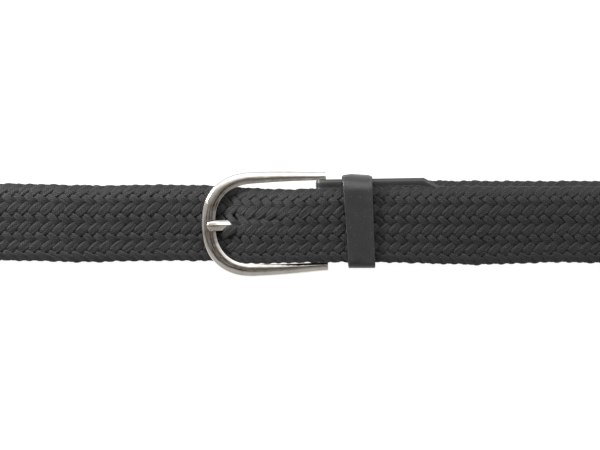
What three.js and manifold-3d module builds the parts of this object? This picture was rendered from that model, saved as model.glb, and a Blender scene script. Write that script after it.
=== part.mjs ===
// A braided belt, fastened and laid flat as a loop. X runs along the belt, Y across it and Z up, in
// millimetres. The origin is on the resting face, under the middle of the buckle's cross bar.
import * as THREE from 'three';
import { mergeVertices } from 'three/addons/utils/BufferGeometryUtils.js';
import Module from 'manifold-3d';

const wasm = await Module();
wasm.setup();

const X = new THREE.Vector3(1, 0, 0);
const Y = new THREE.Vector3(0, 1, 0);
const Z = new THREE.Vector3(0, 0, 1);

// Driving dimensions
const GAP = 0.3; // left between pieces that touch
const STRAP_THICKNESS = 3.6; // two layers of cord where they cross
const LEATHER = 1.4;
const BAR = { y: 1.85, z: 9.2, radius: 1.7, length: 40.4, sides: 20 };
const SKEW = THREE.MathUtils.degToRad(2.4); // the buckle sits a little turned on the strap
const FRAME = {
  reach: 55.6, // from the bar's middle to the outer edge of the bend
  overhang: 2.8, // of the arms past the bar's middle
  halfWidth: 24.1,
  halfWidthAtBar: 22.4,
  power: 2.3, // of the superellipse that the bend follows: 2 is a circle
  thickness: 3.4,
  rise: 0.9, // the bend lies this much higher than the bar
  armSteps: 6,
  bendSteps: 28,
};
const PRONG_WIDTH = 5;
const PRONG_EYE = { inner: BAR.radius + GAP, outer: 3.4, sides: 20 };
const TAB = { y: 3, width: 35.2, shoulder: 46.9, point: 80, slot: 6, slotEnd: 4 };
const TIP = { y: -0.1, width: 35.6, shoulder: 172, point: 190 };
const KEEPER = { x: 17.4, y: 2, width: 13, wall: 1.5, corner: 1.2, lean: THREE.MathUtils.degToRad(3.1) };

// The keeper follows the outline of the tab and straps that it holds: the middles of its inner corners.
const KEEPER_CORNERS = [
  { y: -15, z: 6.6 },
  { y: 20.6, z: 6.6 },
  { y: 20.6, z: 12.2 },
  { y: 17.1, z: 15.7 },
  { y: -17.1, z: 15.7 },
  { y: -17.1, z: 13.4 },
];

// The strap's middle line, from its sewn end at the buckle round the loop and on to its free end.
// steps is how many sections lead to the next row; crown is how far the middle stands above the edges,
// where the tongue lifts it while the frame holds the edges down.
const ROUTE = [
  { x: 4.2, y: 3, z: 9.2, width: 34.6, steps: 4 },
  { x: 60, y: 3, z: 9.2, width: 34.6, steps: 4 },
  { x: 110, y: 3, z: 9.5, width: 34.6, steps: 3 },
  { x: 150, y: 3, z: 10.4, width: 34.8, steps: 3 },
  { x: 190, y: 3, z: 13, width: 35, steps: 4 },
  { x: 212, y: 3, z: 15.4, width: 35, steps: 4 },
  { x: 228, y: 3, z: 15.6, width: 35, steps: 4 },
  { x: 237, y: 3, z: 11.6, width: 35, steps: 4 },
  { x: 236, y: 3, z: 6, width: 35, steps: 4 },
  { x: 226, y: 3, z: 2.4, width: 35, steps: 4 },
  { x: 208, y: 2.9, z: 1.8, width: 35, steps: 3 },
  { x: 190, y: 2.7, z: 1.8, width: 35, steps: 3 },
  { x: 120, y: 1.6, z: 1.8, width: 34.6, steps: 3 },
  { x: 0, y: -0.3, z: 1.8, width: 34, steps: 4 },
  { x: -110, y: 0.6, z: 1.8, width: 34.2, steps: 3 },
  { x: -180, y: 1.6, z: 1.8, width: 35, steps: 3 },
  { x: -200, y: 1.6, z: 1.8, width: 35, steps: 3 },
  { x: -217, y: 1.6, z: 2.4, width: 35, steps: 4 },
  { x: -227, y: 1.6, z: 6, width: 35, steps: 4 },
  { x: -228, y: 1.6, z: 11.6, width: 35, steps: 4 },
  { x: -219, y: 1.6, z: 15.8, width: 35, steps: 4 },
  { x: -203, y: 1.6, z: 15.8, width: 35.2, steps: 4 },
  { x: -180, y: 1.6, z: 13.2, width: 35.2, steps: 4 },
  { x: -140, y: 1.4, z: 9.3, width: 35.1, steps: 4 },
  { x: -95, y: 0.6, z: 6.7, width: 34.6, steps: 4 },
  { x: -64, y: 0.1, z: 5.9, width: 34.4, steps: 3 },
  { x: -52, y: -0.1, z: 5.8, width: 34.4, steps: 3, crown: 0.2 },
  { x: -47, y: -0.2, z: 6, width: 34.4, steps: 3, crown: 1.2 },
  { x: -42, y: -0.2, z: 6.2, width: 34.4, steps: 3, crown: 3.2 },
  { x: -38, y: -0.2, z: 8, width: 34.4, steps: 3, crown: 2.6 },
  { x: -33, y: -0.3, z: 11, width: 34.4, steps: 3, crown: 1.6 },
  { x: -26, y: -0.3, z: 13.2, width: 34.4, steps: 3, crown: 0.7 },
  { x: -18, y: -0.3, z: 14.4, width: 34.5, steps: 3, crown: 0.2 },
  { x: -8, y: -0.2, z: 14.8, width: 34.5, steps: 3 },
  { x: 20, y: 0.3, z: 14.8, width: 34.5, steps: 4 },
  { x: 85, y: 0.2, z: 14.8, width: 35, steps: 4 },
  { x: 133, y: 0.2, z: 15.6, width: 34.6, steps: 4 },
  { x: 172, y: -0.1, z: 17.4, width: 34.6, steps: 3 },
  { x: 190, y: -0.1, z: 19.2, width: 34.6, steps: 0 },
];
const STRAP_END = ROUTE.length - 2; // the row where the cords stop, inside the leather tip
const TIP_START = ROUTE.length - 3; // the row where the leather tip's edge lies

// Half-round tongue: along is the distance from the bar's middle.
const PRONG = [
  { along: 0, z: 10.9, width: 5, height: 2.2 },
  { along: 4, z: 10.2, width: 5, height: 2.2 },
  { along: 10, z: 9.5, width: 5, height: 2.1 },
  { along: 19, z: 9, width: 5.1, height: 2 },
  { along: 29, z: 8.9, width: 5.1, height: 2 },
  { along: 36, z: 9.3, width: 5, height: 2 },
  { along: 42, z: 10.2, width: 4.8, height: 1.9 },
  { along: 47, z: 11.3, width: 4.6, height: 1.9 },
  { along: 51, z: 11.7, width: 4.4, height: 1.9 },
  { along: 52.4, z: 11.7, width: 3.5, height: 1.6 },
  { along: 53, z: 11.65, width: 2, height: 1.2 },
];
// Section of the frame: across runs from its inner to its outer edge, both as parts of its size.
const FRAME_SECTION = [
  { across: -0.38, up: -0.5 },
  { across: 0.38, up: -0.5 },
  { across: 0.5, up: -0.3 },
  { across: 0.5, up: 0.05 },
  { across: 0.22, up: 0.46 },
  { across: 0, up: 0.5 },
  { across: -0.36, up: 0.42 },
  { across: -0.5, up: 0.15 },
  { across: -0.5, up: -0.3 },
];
// Width of the frame's metal, seen from above, by the distance from the bar.
const FRAME_WIDTHS = [
  { along: -FRAME.overhang, width: 3.2 },
  { along: 27, width: 4.9 },
  { along: FRAME.reach, width: 5.75 },
];
const PRONG_SECTION = [
  { across: -0.5, up: -0.5 },
  { across: 0.5, up: -0.5 },
  { across: 0.5, up: 0 },
  { across: 0.35, up: 0.36 },
  { across: 0, up: 0.5 },
  { across: -0.35, up: 0.36 },
  { across: -0.5, up: 0 },
];

// Solids
function solidOf(geometry) {
  const bare = geometry.clone();
  bare.deleteAttribute('normal');
  bare.deleteAttribute('uv');
  const merged = mergeVertices(bare, 1e-4);
  const mesh = new wasm.Mesh({
    numProp: 3,
    vertProperties: new Float32Array(merged.attributes.position.array),
    triVerts: new Uint32Array(merged.index.array),
  });
  return new wasm.Manifold(mesh);
}

function geometryOf(solid) {
  const { vertProperties, triVerts } = solid.getMesh();
  const geometry = new THREE.BufferGeometry();
  geometry.setAttribute('position', new THREE.Float32BufferAttribute(vertProperties, 3));
  geometry.setIndex(new THREE.Uint32BufferAttribute(triVerts, 1));
  return geometry;
}

// Closed skin over rings of points, with flat ends. Seen from its end, a ring runs anticlockwise.
function loft(rings) {
  const size = rings[0].length;
  const faces = [];
  for (let i = 0; i + 1 < rings.length; i++) {
    for (let j = 0; j < size; j++) {
      const a = i * size + j;
      const b = i * size + (j + 1) % size;
      faces.push(a, b, b + size, a, b + size, a + size);
    }
  }
  const last = (rings.length - 1) * size;
  for (let j = 1; j + 1 < size; j++) {
    faces.push(0, j + 1, j, last, last + j, last + j + 1);
  }
  const geometry = new THREE.BufferGeometry().setFromPoints(rings.flat());
  geometry.setIndex(faces);
  return geometry;
}

// Flat band with round edges, as points across and up from its middle.
function bandSection(width, thickness, arcSteps = 3, flatSteps = 6) {
  const radius = thickness / 2;
  const middle = width / 2 - radius;
  const points = [];
  for (const side of [1, -1]) {
    for (let i = 0; i <= arcSteps; i++) {
      const angle = Math.PI * (i / arcSteps - side / 2);
      points.push({ across: side * middle + radius * Math.cos(angle), up: radius * Math.sin(angle) });
    }
    for (let i = 1; i < flatSteps; i++) {
      points.push({ across: side * middle * (1 - (2 * i) / flatSteps), up: side * radius });
    }
  }
  return points;
}

const routeCurve = new THREE.CatmullRomCurve3(ROUTE.map(({ x, y, z }) => new THREE.Vector3(x, y, z)));

// Rings along the strap's route between two of its rows, each end drawn out by `extra`.
function bandRings(firstRow, lastRow, thickness, { width, extra = 0 } = {}) {
  const stations = [];
  for (let row = firstRow; row < lastRow; row++) {
    for (let step = 0; step < ROUTE[row].steps; step++) {
      stations.push(row + step / ROUTE[row].steps);
    }
  }
  stations.push(lastRow);
  return stations.map((station, i) => {
    const share = station / (ROUTE.length - 1);
    const row = Math.min(Math.floor(station), ROUTE.length - 2);
    const [before, after] = [ROUTE[row], ROUTE[row + 1]];
    const between = (name) => THREE.MathUtils.lerp(before[name] ?? 0, after[name] ?? 0, station - row);
    const ownWidth = between('width');
    const crown = between('crown');
    const along = routeCurve.getTangent(share).setY(0).normalize();
    const up = new THREE.Vector3().crossVectors(along, Y);
    const drawn = i === 0 ? -extra : i === stations.length - 1 ? extra : 0;
    const middle = routeCurve.getPoint(share).addScaledVector(along, drawn);
    middle.z = Math.max(middle.z, STRAP_THICKNESS / 2);
    return bandSection(width ?? ownWidth, thickness).map((point) => middle.clone()
      .addScaledVector(Y, point.across)
      .addScaledVector(up, point.up)
      .addScaledVector(Z, crown * (1 - (2 * point.across / ownWidth) ** 2) ** 2));
  });
}

// Extrudes a shape drawn in X and Z to the full width given, along the Y axis and about its middle.
function extrudeAcross(shape, width) {
  const geometry = new THREE.ExtrudeGeometry(shape, { depth: width, bevelEnabled: false, curveSegments: 12 });
  geometry.translate(0, 0, -width / 2);
  return geometry.applyMatrix4(new THREE.Matrix4().makeBasis(X, Z, Y.clone().negate()));
}

// Outline from above of a leather piece whose sloping sides end in a blunt point.
function pointedPlan(start, { y, width, shoulder, point }) {
  const half = width / 2;
  const blunt = 0.15; // share of the sloping sides that the round nose takes
  const nose = THREE.MathUtils.lerp(point, shoulder, blunt);
  const outline = new THREE.Shape();
  outline.moveTo(start, y - half);
  outline.lineTo(shoulder, y - half);
  outline.lineTo(nose, y - half * blunt);
  outline.quadraticCurveTo(point, y, nose, y + half * blunt);
  outline.lineTo(shoulder, y + half);
  outline.lineTo(start, y + half);
  return outline;
}

function uprightPrism(shape, height) {
  return solidOf(new THREE.ExtrudeGeometry(shape, { depth: height, bevelEnabled: false, curveSegments: 8 }));
}

// Turned with the buckle and moved to the bar.
const buckleMatrix = new THREE.Matrix4().makeRotationZ(SKEW).setPosition(0, BAR.y, 0);

function frameStations() {
  const stations = [];
  const bendStart = FRAME.reach - FRAME.halfWidth;
  for (let i = 0; i < FRAME.armSteps; i++) {
    const along = THREE.MathUtils.lerp(-FRAME.overhang, bendStart, i / FRAME.armSteps);
    const widen = Math.sin((Math.PI / 2) * Math.max(0, along) / bendStart);
    stations.push({ along, side: THREE.MathUtils.lerp(FRAME.halfWidthAtBar, FRAME.halfWidth, widen) });
  }
  for (let i = 0; i <= FRAME.bendSteps / 2; i++) {
    const angle = Math.PI * (i / FRAME.bendSteps);
    const share = (value) => Math.max(0, value) ** (2 / FRAME.power);
    const side = i === FRAME.bendSteps / 2 ? 0 : FRAME.halfWidth * share(Math.cos(angle));
    stations.push({ along: bendStart + FRAME.halfWidth * share(Math.sin(angle)), side });
  }
  const lower = stations.map(({ along, side }) => ({ along, side: -side }));
  return [...lower, ...stations.slice(0, -1).reverse()];
}

function widthAt(along) {
  const next = Math.max(1, FRAME_WIDTHS.findIndex((row) => row.along >= along));
  const [a, b] = [FRAME_WIDTHS[next - 1], FRAME_WIDTHS[next]];
  return THREE.MathUtils.mapLinear(along, a.along, b.along, a.width, b.width);
}

function frameRings() {
  const stations = frameStations();
  const at = (i) => stations[THREE.MathUtils.clamp(i, 0, stations.length - 1)];
  return stations.map(({ along, side }, i) => {
    const tangent = new THREE.Vector3(at(i - 1).along - at(i + 1).along, at(i + 1).side - at(i - 1).side, 0);
    const out = new THREE.Vector3().crossVectors(Z, tangent).normalize();
    const width = widthAt(along);
    const height = BAR.z + (FRAME.rise * along) / FRAME.reach;
    return FRAME_SECTION.map((point) => new THREE.Vector3(-along, side, height)
      .addScaledVector(out, (point.across - 0.5) * width)
      .addScaledVector(Z, point.up * FRAME.thickness)
      .applyMatrix4(buckleMatrix));
  });
}

// The tongue's shank, drawn out on all sides by `room`.
function shank(room) {
  const rings = PRONG.map(({ along, z, width, height }, i) =>
    PRONG_SECTION.map((point) => {
      const reach = along + (i === PRONG.length - 1 ? room : 0);
      const side = -point.across * (width + 2 * room);
      const up = z + point.up * (height + 2 * room);
      return new THREE.Vector3(-reach, side, up).applyMatrix4(buckleMatrix);
    }));
  return solidOf(loft(rings));
}

function barSolid(radius, length) {
  const rod = new THREE.CylinderGeometry(radius, radius, length, BAR.sides);
  rod.translate(0, 0, BAR.z);
  return solidOf(rod.applyMatrix4(buckleMatrix));
}

const prongRoom = shank(GAP);

function braidedStrap() {
  return solidOf(loft(bandRings(0, STRAP_END, STRAP_THICKNESS))).subtract(prongRoom);
}

function buckleFrame() {
  return solidOf(loft(frameRings())).add(barSolid(BAR.radius, BAR.length)).subtract(prongRoom);
}

function prong() {
  const disc = new THREE.CylinderGeometry(PRONG_EYE.outer, PRONG_EYE.outer, PRONG_WIDTH, PRONG_EYE.sides);
  disc.translate(0, 0, BAR.z);
  return solidOf(disc.applyMatrix4(buckleMatrix)).add(shank(0))
    .subtract(barSolid(PRONG_EYE.inner, BAR.length));
}

// One strip of leather folded round the bar, with a slot for the tongue.
function leatherTab() {
  const inner = STRAP_THICKNESS / 2 + GAP;
  const outer = inner + LEATHER;
  const strip = new THREE.Shape();
  strip.moveTo(TAB.point, BAR.z + outer);
  strip.absarc(0, BAR.z, outer, Math.PI / 2, (3 * Math.PI) / 2, false);
  strip.lineTo(TAB.point, BAR.z - outer);
  strip.lineTo(TAB.point, BAR.z - inner);
  strip.absarc(0, BAR.z, inner, (3 * Math.PI) / 2, Math.PI / 2, true);
  strip.lineTo(TAB.point, BAR.z + inner);
  const folded = extrudeAcross(strip, 2 * TAB.width);
  // The fold lies along the turned bar, the edges along the strap.
  folded.translate(0, BAR.y, 0);
  folded.applyMatrix4(new THREE.Matrix4().makeTranslation(BAR.y * Math.tan(SKEW), 0, 0)
    .multiply(new THREE.Matrix4().makeShear(0, 0, -Math.tan(SKEW), 0, 0, 0)));
  const slot = new THREE.BoxGeometry(2 * TAB.slotEnd, TAB.slot, 3 * outer);
  slot.translate(0, BAR.y, BAR.z);
  return solidOf(folded)
    .intersect(uprightPrism(pointedPlan(-2 * outer, TAB), 2 * BAR.z))
    .subtract(solidOf(slot));
}

// Two leaves of leather, joined past the end of the cords.
function leatherTip() {
  const pocketHeight = STRAP_THICKNESS + 2 * GAP;
  const width = 2 * TIP.width; // trimmed to the plan below
  const leaves = bandRings(TIP_START, ROUTE.length - 1, pocketHeight + 2 * LEATHER, { width });
  const pocket = bandRings(TIP_START, STRAP_END, pocketHeight, { width, extra: GAP });
  return solidOf(loft(leaves))
    .subtract(solidOf(loft(pocket)))
    .intersect(uprightPrism(pointedPlan(ROUTE[TIP_START].x - GAP, TIP), 2 * ROUTE.at(-1).z));
}

// Adds to a path the outline of a belt drawn tight round equal discs at the corners given.
function roundOutline(corners, radius, path) {
  corners.forEach((corner, i) => {
    const before = corners.at(i - 1);
    const after = corners[(i + 1) % corners.length];
    const side = (from, to) => Math.atan2(-(to.y - from.y), to.z - from.z);
    const start = side(before, corner);
    const turn = THREE.MathUtils.euclideanModulo(side(corner, after) - start, 2 * Math.PI);
    path.absarc(corner.y, corner.z, radius, start, start + turn, false);
  });
  return path;
}

function keeperLoop() {
  const ring = roundOutline(KEEPER_CORNERS, KEEPER.corner + KEEPER.wall, new THREE.Shape());
  ring.holes.push(roundOutline(KEEPER_CORNERS, KEEPER.corner, new THREE.Path()));
  const settings = { depth: KEEPER.width, bevelEnabled: false, curveSegments: 5 };
  const geometry = new THREE.ExtrudeGeometry(ring, settings);
  geometry.translate(-KEEPER.y, 0, -KEEPER.width / 2);
  geometry.applyMatrix4(new THREE.Matrix4().makeBasis(Y, Z, X));
  return solidOf(geometry);
}

// Materials
function finish(color, roughness, metalness) {
  return new THREE.MeshStandardMaterial({ color, roughness, metalness });
}

const cordFinish = finish(0x3b3b3b, 0.85, 0);
const chromeFinish = finish(0xc9c9c9, 0.15, 1);
const leatherFinish = finish(0x262626, 0.5, 0);

function part(name, solid, material) {
  const geometry = geometryOf(solid);
  geometry.computeVertexNormals();
  const mesh = new THREE.Mesh(geometry, material);
  mesh.name = name;
  return mesh;
}

const belt = new THREE.Group();
belt.add(part('braided_strap', braidedStrap(), cordFinish));
belt.add(part('leather_tab', leatherTab(), leatherFinish));
belt.add(part('leather_tip', leatherTip(), leatherFinish));

const keeper = part('keeper_loop', keeperLoop(), leatherFinish);
keeper.position.set(KEEPER.x, KEEPER.y, 0);
keeper.rotation.z = KEEPER.lean;
belt.add(keeper);

const buckle = new THREE.Group();
buckle.add(part('buckle_frame', buckleFrame(), chromeFinish));
buckle.add(part('prong', prong(), chromeFinish));
belt.add(buckle);

export default belt;
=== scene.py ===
# %% [markdown]
# A braided belt is three crafts in one thing: a machine plaits seventeen polyester cords into a flat
# strap, a caster makes the buckle and plates it with chrome, and a saddler cuts, folds and sews the
# leather that joins the two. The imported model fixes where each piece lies, so this file loads it
# first and then makes the look of every piece in its place.

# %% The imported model
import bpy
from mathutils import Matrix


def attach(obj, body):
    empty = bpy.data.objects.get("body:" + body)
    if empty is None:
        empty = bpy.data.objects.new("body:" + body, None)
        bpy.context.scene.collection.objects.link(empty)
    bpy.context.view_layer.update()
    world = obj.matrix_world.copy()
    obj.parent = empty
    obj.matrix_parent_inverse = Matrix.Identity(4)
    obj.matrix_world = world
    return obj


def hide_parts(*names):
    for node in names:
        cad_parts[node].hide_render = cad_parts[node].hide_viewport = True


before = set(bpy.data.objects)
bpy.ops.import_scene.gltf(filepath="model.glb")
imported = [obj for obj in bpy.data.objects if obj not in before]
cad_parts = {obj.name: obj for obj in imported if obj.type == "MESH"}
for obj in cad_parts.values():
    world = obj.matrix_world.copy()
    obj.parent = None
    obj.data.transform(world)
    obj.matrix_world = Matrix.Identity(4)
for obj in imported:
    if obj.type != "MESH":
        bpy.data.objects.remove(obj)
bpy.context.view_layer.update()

import math
from types import SimpleNamespace

import bpy
from mathutils import Matrix, Vector

# %% [markdown]
# Small pieces are easiest to think of in millimetres, while Blender counts in metres. So every size
# below is written in millimetres and each mesh is scaled once, when it is made. Three helpers carry
# the whole file: one adds a node with its settings and links, one makes a mesh from points, and one
# turns an object with modifiers into a plain mesh, because the model is kept as plain meshes.

# %% Units and helpers
MM = 0.001
MATH = "ShaderNodeMath"
VECTOR_MATH = "ShaderNodeVectorMath"


def linear(hex_colour):
    """A colour given in sRGB, such as '#3b3b3c', as the linear values that a shader wants."""
    parts = [int(hex_colour[i:i + 2], 16) / 255 for i in (1, 3, 5)]
    return [p / 12.92 if p <= 0.04045 else ((p + 0.055) / 1.055) ** 2.4 for p in parts] + [1.0]


def add(tree, kind, inputs=(), **settings):
    """Adds a node. Inputs are a list, or go by name or number; each is a value, a socket or a node."""
    node = tree.nodes.new(kind)
    for name, value in settings.items():
        setattr(node, name, value)
    for key, value in inputs.items() if isinstance(inputs, dict) else enumerate(inputs):
        if isinstance(value, bpy.types.Node):
            value = next(socket for socket in value.outputs if socket.enabled)
        if isinstance(value, bpy.types.NodeSocket):
            tree.links.new(value, node.inputs[key])
        else:
            node.inputs[key].default_value = value
    return node


def mesh_object(name, points, faces=(), edges=(), material=None):
    """A smooth object at the origin from points in millimetres."""
    mesh = bpy.data.meshes.new(name)
    mesh.from_pydata([Vector(point) * MM for point in points], edges, faces)
    mesh.polygons.foreach_set("use_smooth", [True] * len(mesh.polygons))
    if material:
        mesh.materials.append(material)
    mesh.update()
    made = bpy.data.objects.new(name, mesh)
    bpy.context.collection.objects.link(made)
    return made


def baked(source, name):
    """The evaluated object as a plain mesh of its own; the object with the modifiers goes."""
    graph = bpy.context.evaluated_depsgraph_get()
    mesh = bpy.data.meshes.new_from_object(source.evaluated_get(graph))
    mesh.name = name
    bpy.data.objects.remove(source)
    made = bpy.data.objects.new(name, mesh)
    bpy.context.collection.objects.link(made)
    return made


def finished(piece, slot, *nodes):
    """Attaches a piece to the belt's root, so that it rides on the belt, and hides the imported nodes that
    it stands for.
    """
    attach(piece, "root")
    for node in nodes:
        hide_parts(node)
    print(piece.name, "has", sum(len(face.vertices) - 2 for face in piece.data.polygons), "triangles")


print("one millimetre is", MM, "of Blender's metres")

# %% [markdown]
# The photograph looks straight down on the belt from about an arm's length, and the strap keeps one
# width from end to end. So a long lens looks down the Z axis, and the width of the view follows from
# the scale of the photograph at the height of the strap.

# %% The camera
PHOTO_WIDTH_PX = 600
PX_PER_MM = 2.177
VIEW_CENTRE = (-10.1, 0.0)
STRAP_LEVEL = 14.8
CAMERA_DISTANCE = 900.0
SENSOR = 36.0
CLIP_END = 10000.0

lens = bpy.data.cameras.new("camera")
lens.sensor_width = SENSOR
lens.lens = SENSOR * CAMERA_DISTANCE / (PHOTO_WIDTH_PX / PX_PER_MM)
lens.clip_end = CLIP_END * MM
camera = bpy.data.objects.new("camera", lens)
camera.location = Vector((*VIEW_CENTRE, STRAP_LEVEL + CAMERA_DISTANCE)) * MM
bpy.context.collection.objects.link(camera)
bpy.context.scene.camera = camera
print("lens", round(lens.lens, 1), "mm")

# %% [markdown]
# Every finish starts from what the real one is. The cords are braided polyester over a stretchy
# core, spun-dyed charcoal: a dull fibre that scatters light, with a soft sheen where the threads
# run. The eye sees fine ridges along each cord, where bundles of fibre lie side by side, over a
# faint diamond pattern where the sheath's threads cross, and a little fluff. The pattern follows
# each cord, so it reads two attributes that the plait's tree keeps: the length along the cord and
# the direction round its section. A real sheath thread is about half a millimetre wide, too fine for
# this view, so it is drawn twice as coarse.

# %% The cords' finish
SHEATH_PITCH = 1.1
SHEATH_THREADS = 8
FIBRE_STRETCH = 0.016
FLUFF_SIZE = 0.9
FADED_PATCHES = 14.0
CORD_RELIEF = {"sheath": 0.25, "fibres": 2.2, "fluff": 0.9, "depth": 0.35}


def finish(name, **numbers):
    """A new material, its tree and its Principled shader, whose own sockets get the numbers."""
    material = bpy.data.materials.new(name)
    material.use_nodes = True
    tree = material.node_tree
    shader = tree.nodes["Principled BSDF"]
    for socket, value in numbers.items():
        shader.inputs[socket.replace("_", " ")].default_value = value
    return material, tree, shader


def polyester_braided_cord():
    material, tree, shader = finish("polyester_braided_cord", Roughness=0.58, Sheen_Weight=0.14,
                                    Sheen_Roughness=0.45, Specular_IOR_Level=0.42)
    # Two sets of threads wind round the core, one each way, and the higher one shows.
    around = add(tree, "ShaderNodeAttribute", attribute_name="around")
    around_x, around_y, _ = add(tree, "ShaderNodeSeparateXYZ", [around.outputs["Vector"]]).outputs
    turned = add(tree, MATH, [around_y, around_x], operation="ARCTAN2")
    turned = add(tree, MATH, [turned, SHEATH_THREADS], operation="MULTIPLY")
    along = add(tree, "ShaderNodeAttribute", attribute_name="along").outputs["Fac"]
    along = add(tree, MATH, [along, math.tau / (SHEATH_PITCH * MM)], operation="MULTIPLY")
    one_way = add(tree, MATH, [turned, along], operation="ADD")
    one_way = add(tree, MATH, [one_way], operation="SINE")
    other_way = add(tree, MATH, [turned, along], operation="SUBTRACT")
    other_way = add(tree, MATH, [other_way], operation="SINE")
    sheath = add(tree, MATH, [one_way, other_way], operation="MAXIMUM")

    # The ridges of fibre are a noise that is drawn out along the cord.
    stretched = add(tree, MATH, [along, FIBRE_STRETCH], operation="MULTIPLY")
    fibres = add(tree, "ShaderNodeCombineXYZ", [around_x, around_y, stretched])
    fibres = add(tree, "ShaderNodeTexNoise", {"Vector": fibres, "Scale": 2.4, "Detail": 3.0}).outputs["Fac"]

    place = add(tree, "ShaderNodeTexCoord").outputs["Object"]
    fluff = add(tree, "ShaderNodeTexNoise", {"Vector": place, "Scale": 1 / (FLUFF_SIZE * MM), "Detail": 3.0})
    fluff = fluff.outputs["Fac"]
    faded = add(tree, "ShaderNodeTexNoise",
                {"Vector": place, "Scale": 1 / (FADED_PATCHES * MM), "Detail": 2.0})
    relief = add(tree, MATH, [fibres, CORD_RELIEF["fibres"]], operation="MULTIPLY")
    relief = add(tree, MATH, [sheath, CORD_RELIEF["sheath"], relief], operation="MULTIPLY_ADD")
    relief = add(tree, MATH, [fluff, CORD_RELIEF["fluff"], relief], operation="MULTIPLY_ADD")
    bump = add(tree, "ShaderNodeBump",
               {"Height": relief, "Strength": 0.65, "Distance": CORD_RELIEF["depth"] * MM})

    # A Mix node's share is its input 0, its two colours are 6 and 7, and the mixture is output 2.
    shade = add(tree, MATH, [fibres, fluff], operation="ADD")
    shade = add(tree, "ShaderNodeMapRange", {"Value": shade, "From Min": 0.75, "From Max": 1.25})
    colour = add(tree, "ShaderNodeMix", {0: shade, 6: linear("#070708"), 7: linear("#191a1b")},
                 data_type="RGBA")
    faded = add(tree, "ShaderNodeMapRange",
                {"Value": faded.outputs["Fac"], "From Min": 0.35, "From Max": 0.65, "To Max": 0.5})
    colour = add(tree, "ShaderNodeMix", {0: faded, 6: colour, 7: linear("#17191b")}, data_type="RGBA")
    tree.links.new(colour.outputs[2], shader.inputs["Base Color"])
    tree.links.new(bump.outputs[0], shader.inputs["Normal"])
    return material


CORD = polyester_braided_cord()
print("finish", CORD.name)

# %% [markdown]
# The leather is full-grain cowhide, drum-dyed black and pressed with a fine grain, then finished
# half matt. It gives the eye a tight pebble of small cells, a soft wide highlight where it bends,
# and lighter scuffs where fingers and the buckle rub it. The cells of a real print are about 0.4 mm
# wide; they are drawn at 0.8 mm so that they show.

# %% The leather's finish
GRAIN = 0.8
GRAIN_BENT_OVER = 2.5
GRAIN_BENT_BY = 0.5
CLOUDS = 6.0
SCUFFS = 0.7
CLOUD_RELIEF = 2.0
GRAIN_DEPTH = 0.08


def drum_dyed_leather():
    material, tree, shader = finish("drum_dyed_black_leather", Specular_IOR_Level=0.75, Coat_Weight=0.05,
                                    Coat_Roughness=0.35)
    place = add(tree, "ShaderNodeTexCoord").outputs["Object"]
    bent = add(tree, "ShaderNodeTexNoise",
               {"Vector": place, "Scale": 1 / (GRAIN_BENT_OVER * MM), "Detail": 2.0})
    bent = add(tree, VECTOR_MATH, {0: bent.outputs["Color"], "Scale": GRAIN_BENT_BY * MM},
               operation="SCALE")
    bent = add(tree, VECTOR_MATH, [place, bent], operation="ADD")
    cells = add(tree, "ShaderNodeTexVoronoi", {"Vector": bent, "Scale": 1 / (GRAIN * MM)},
                feature="DISTANCE_TO_EDGE")
    cells = add(tree, "ShaderNodeMapRange", {"Value": cells.outputs["Distance"], "From Max": 0.16},
                interpolation_type="SMOOTHSTEP")
    cloud = add(tree, "ShaderNodeTexNoise", {"Vector": place, "Scale": 1 / (CLOUDS * MM), "Detail": 4.0})
    cloud = cloud.outputs["Fac"]
    fine = add(tree, "ShaderNodeTexNoise", {"Vector": place, "Scale": 1 / (SCUFFS * MM), "Detail": 3.0})
    relief = add(tree, MATH, [cloud, CLOUD_RELIEF, cells], operation="MULTIPLY_ADD")
    bump = add(tree, "ShaderNodeBump", {"Height": relief, "Strength": 0.35, "Distance": GRAIN_DEPTH * MM})
    rough = add(tree, "ShaderNodeMapRange",
                {"Value": cloud, "From Min": 0.3, "From Max": 0.7, "To Min": 0.32, "To Max": 0.42})
    colour = add(tree, "ShaderNodeMix", {0: cloud, 6: linear("#07090a"), 7: linear("#121417")},
                 data_type="RGBA")
    scuffs = add(tree, "ShaderNodeMapRange",
                 {"Value": fine.outputs["Fac"], "From Min": 0.66, "From Max": 0.74, "To Max": 0.5})
    colour = add(tree, "ShaderNodeMix", {0: scuffs, 6: colour, 7: linear("#6c6a66")}, data_type="RGBA")
    tree.links.new(colour.outputs[2], shader.inputs["Base Color"])
    tree.links.new(rough.outputs[0], shader.inputs["Roughness"])
    tree.links.new(bump.outputs[0], shader.inputs["Normal"])
    return material


LEATHER = drum_dyed_leather()
print("finish", LEATHER.name)

# %% [markdown]
# The buckle is die-cast zinc, polished by hand and plated with nickel and chrome. Chrome reflects a
# little more than half of the light at every colour, so its own colour is a light grey and its look
# is the room around it. Polishing leaves a slight waviness a few millimetres long, and wear leaves
# hairlines that blur the mirror a little and patches that are duller and warmer. The hairlines are
# finer than a tenth of a millimetre, so they are drawn as a change of roughness a millimetre long.

# %% The chrome's finish
POLISHING_WAVES = 7.0
WAVE_DEPTH = 0.3
HAIRLINES = 1.1
WORN_PATCHES = 9.0


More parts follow.
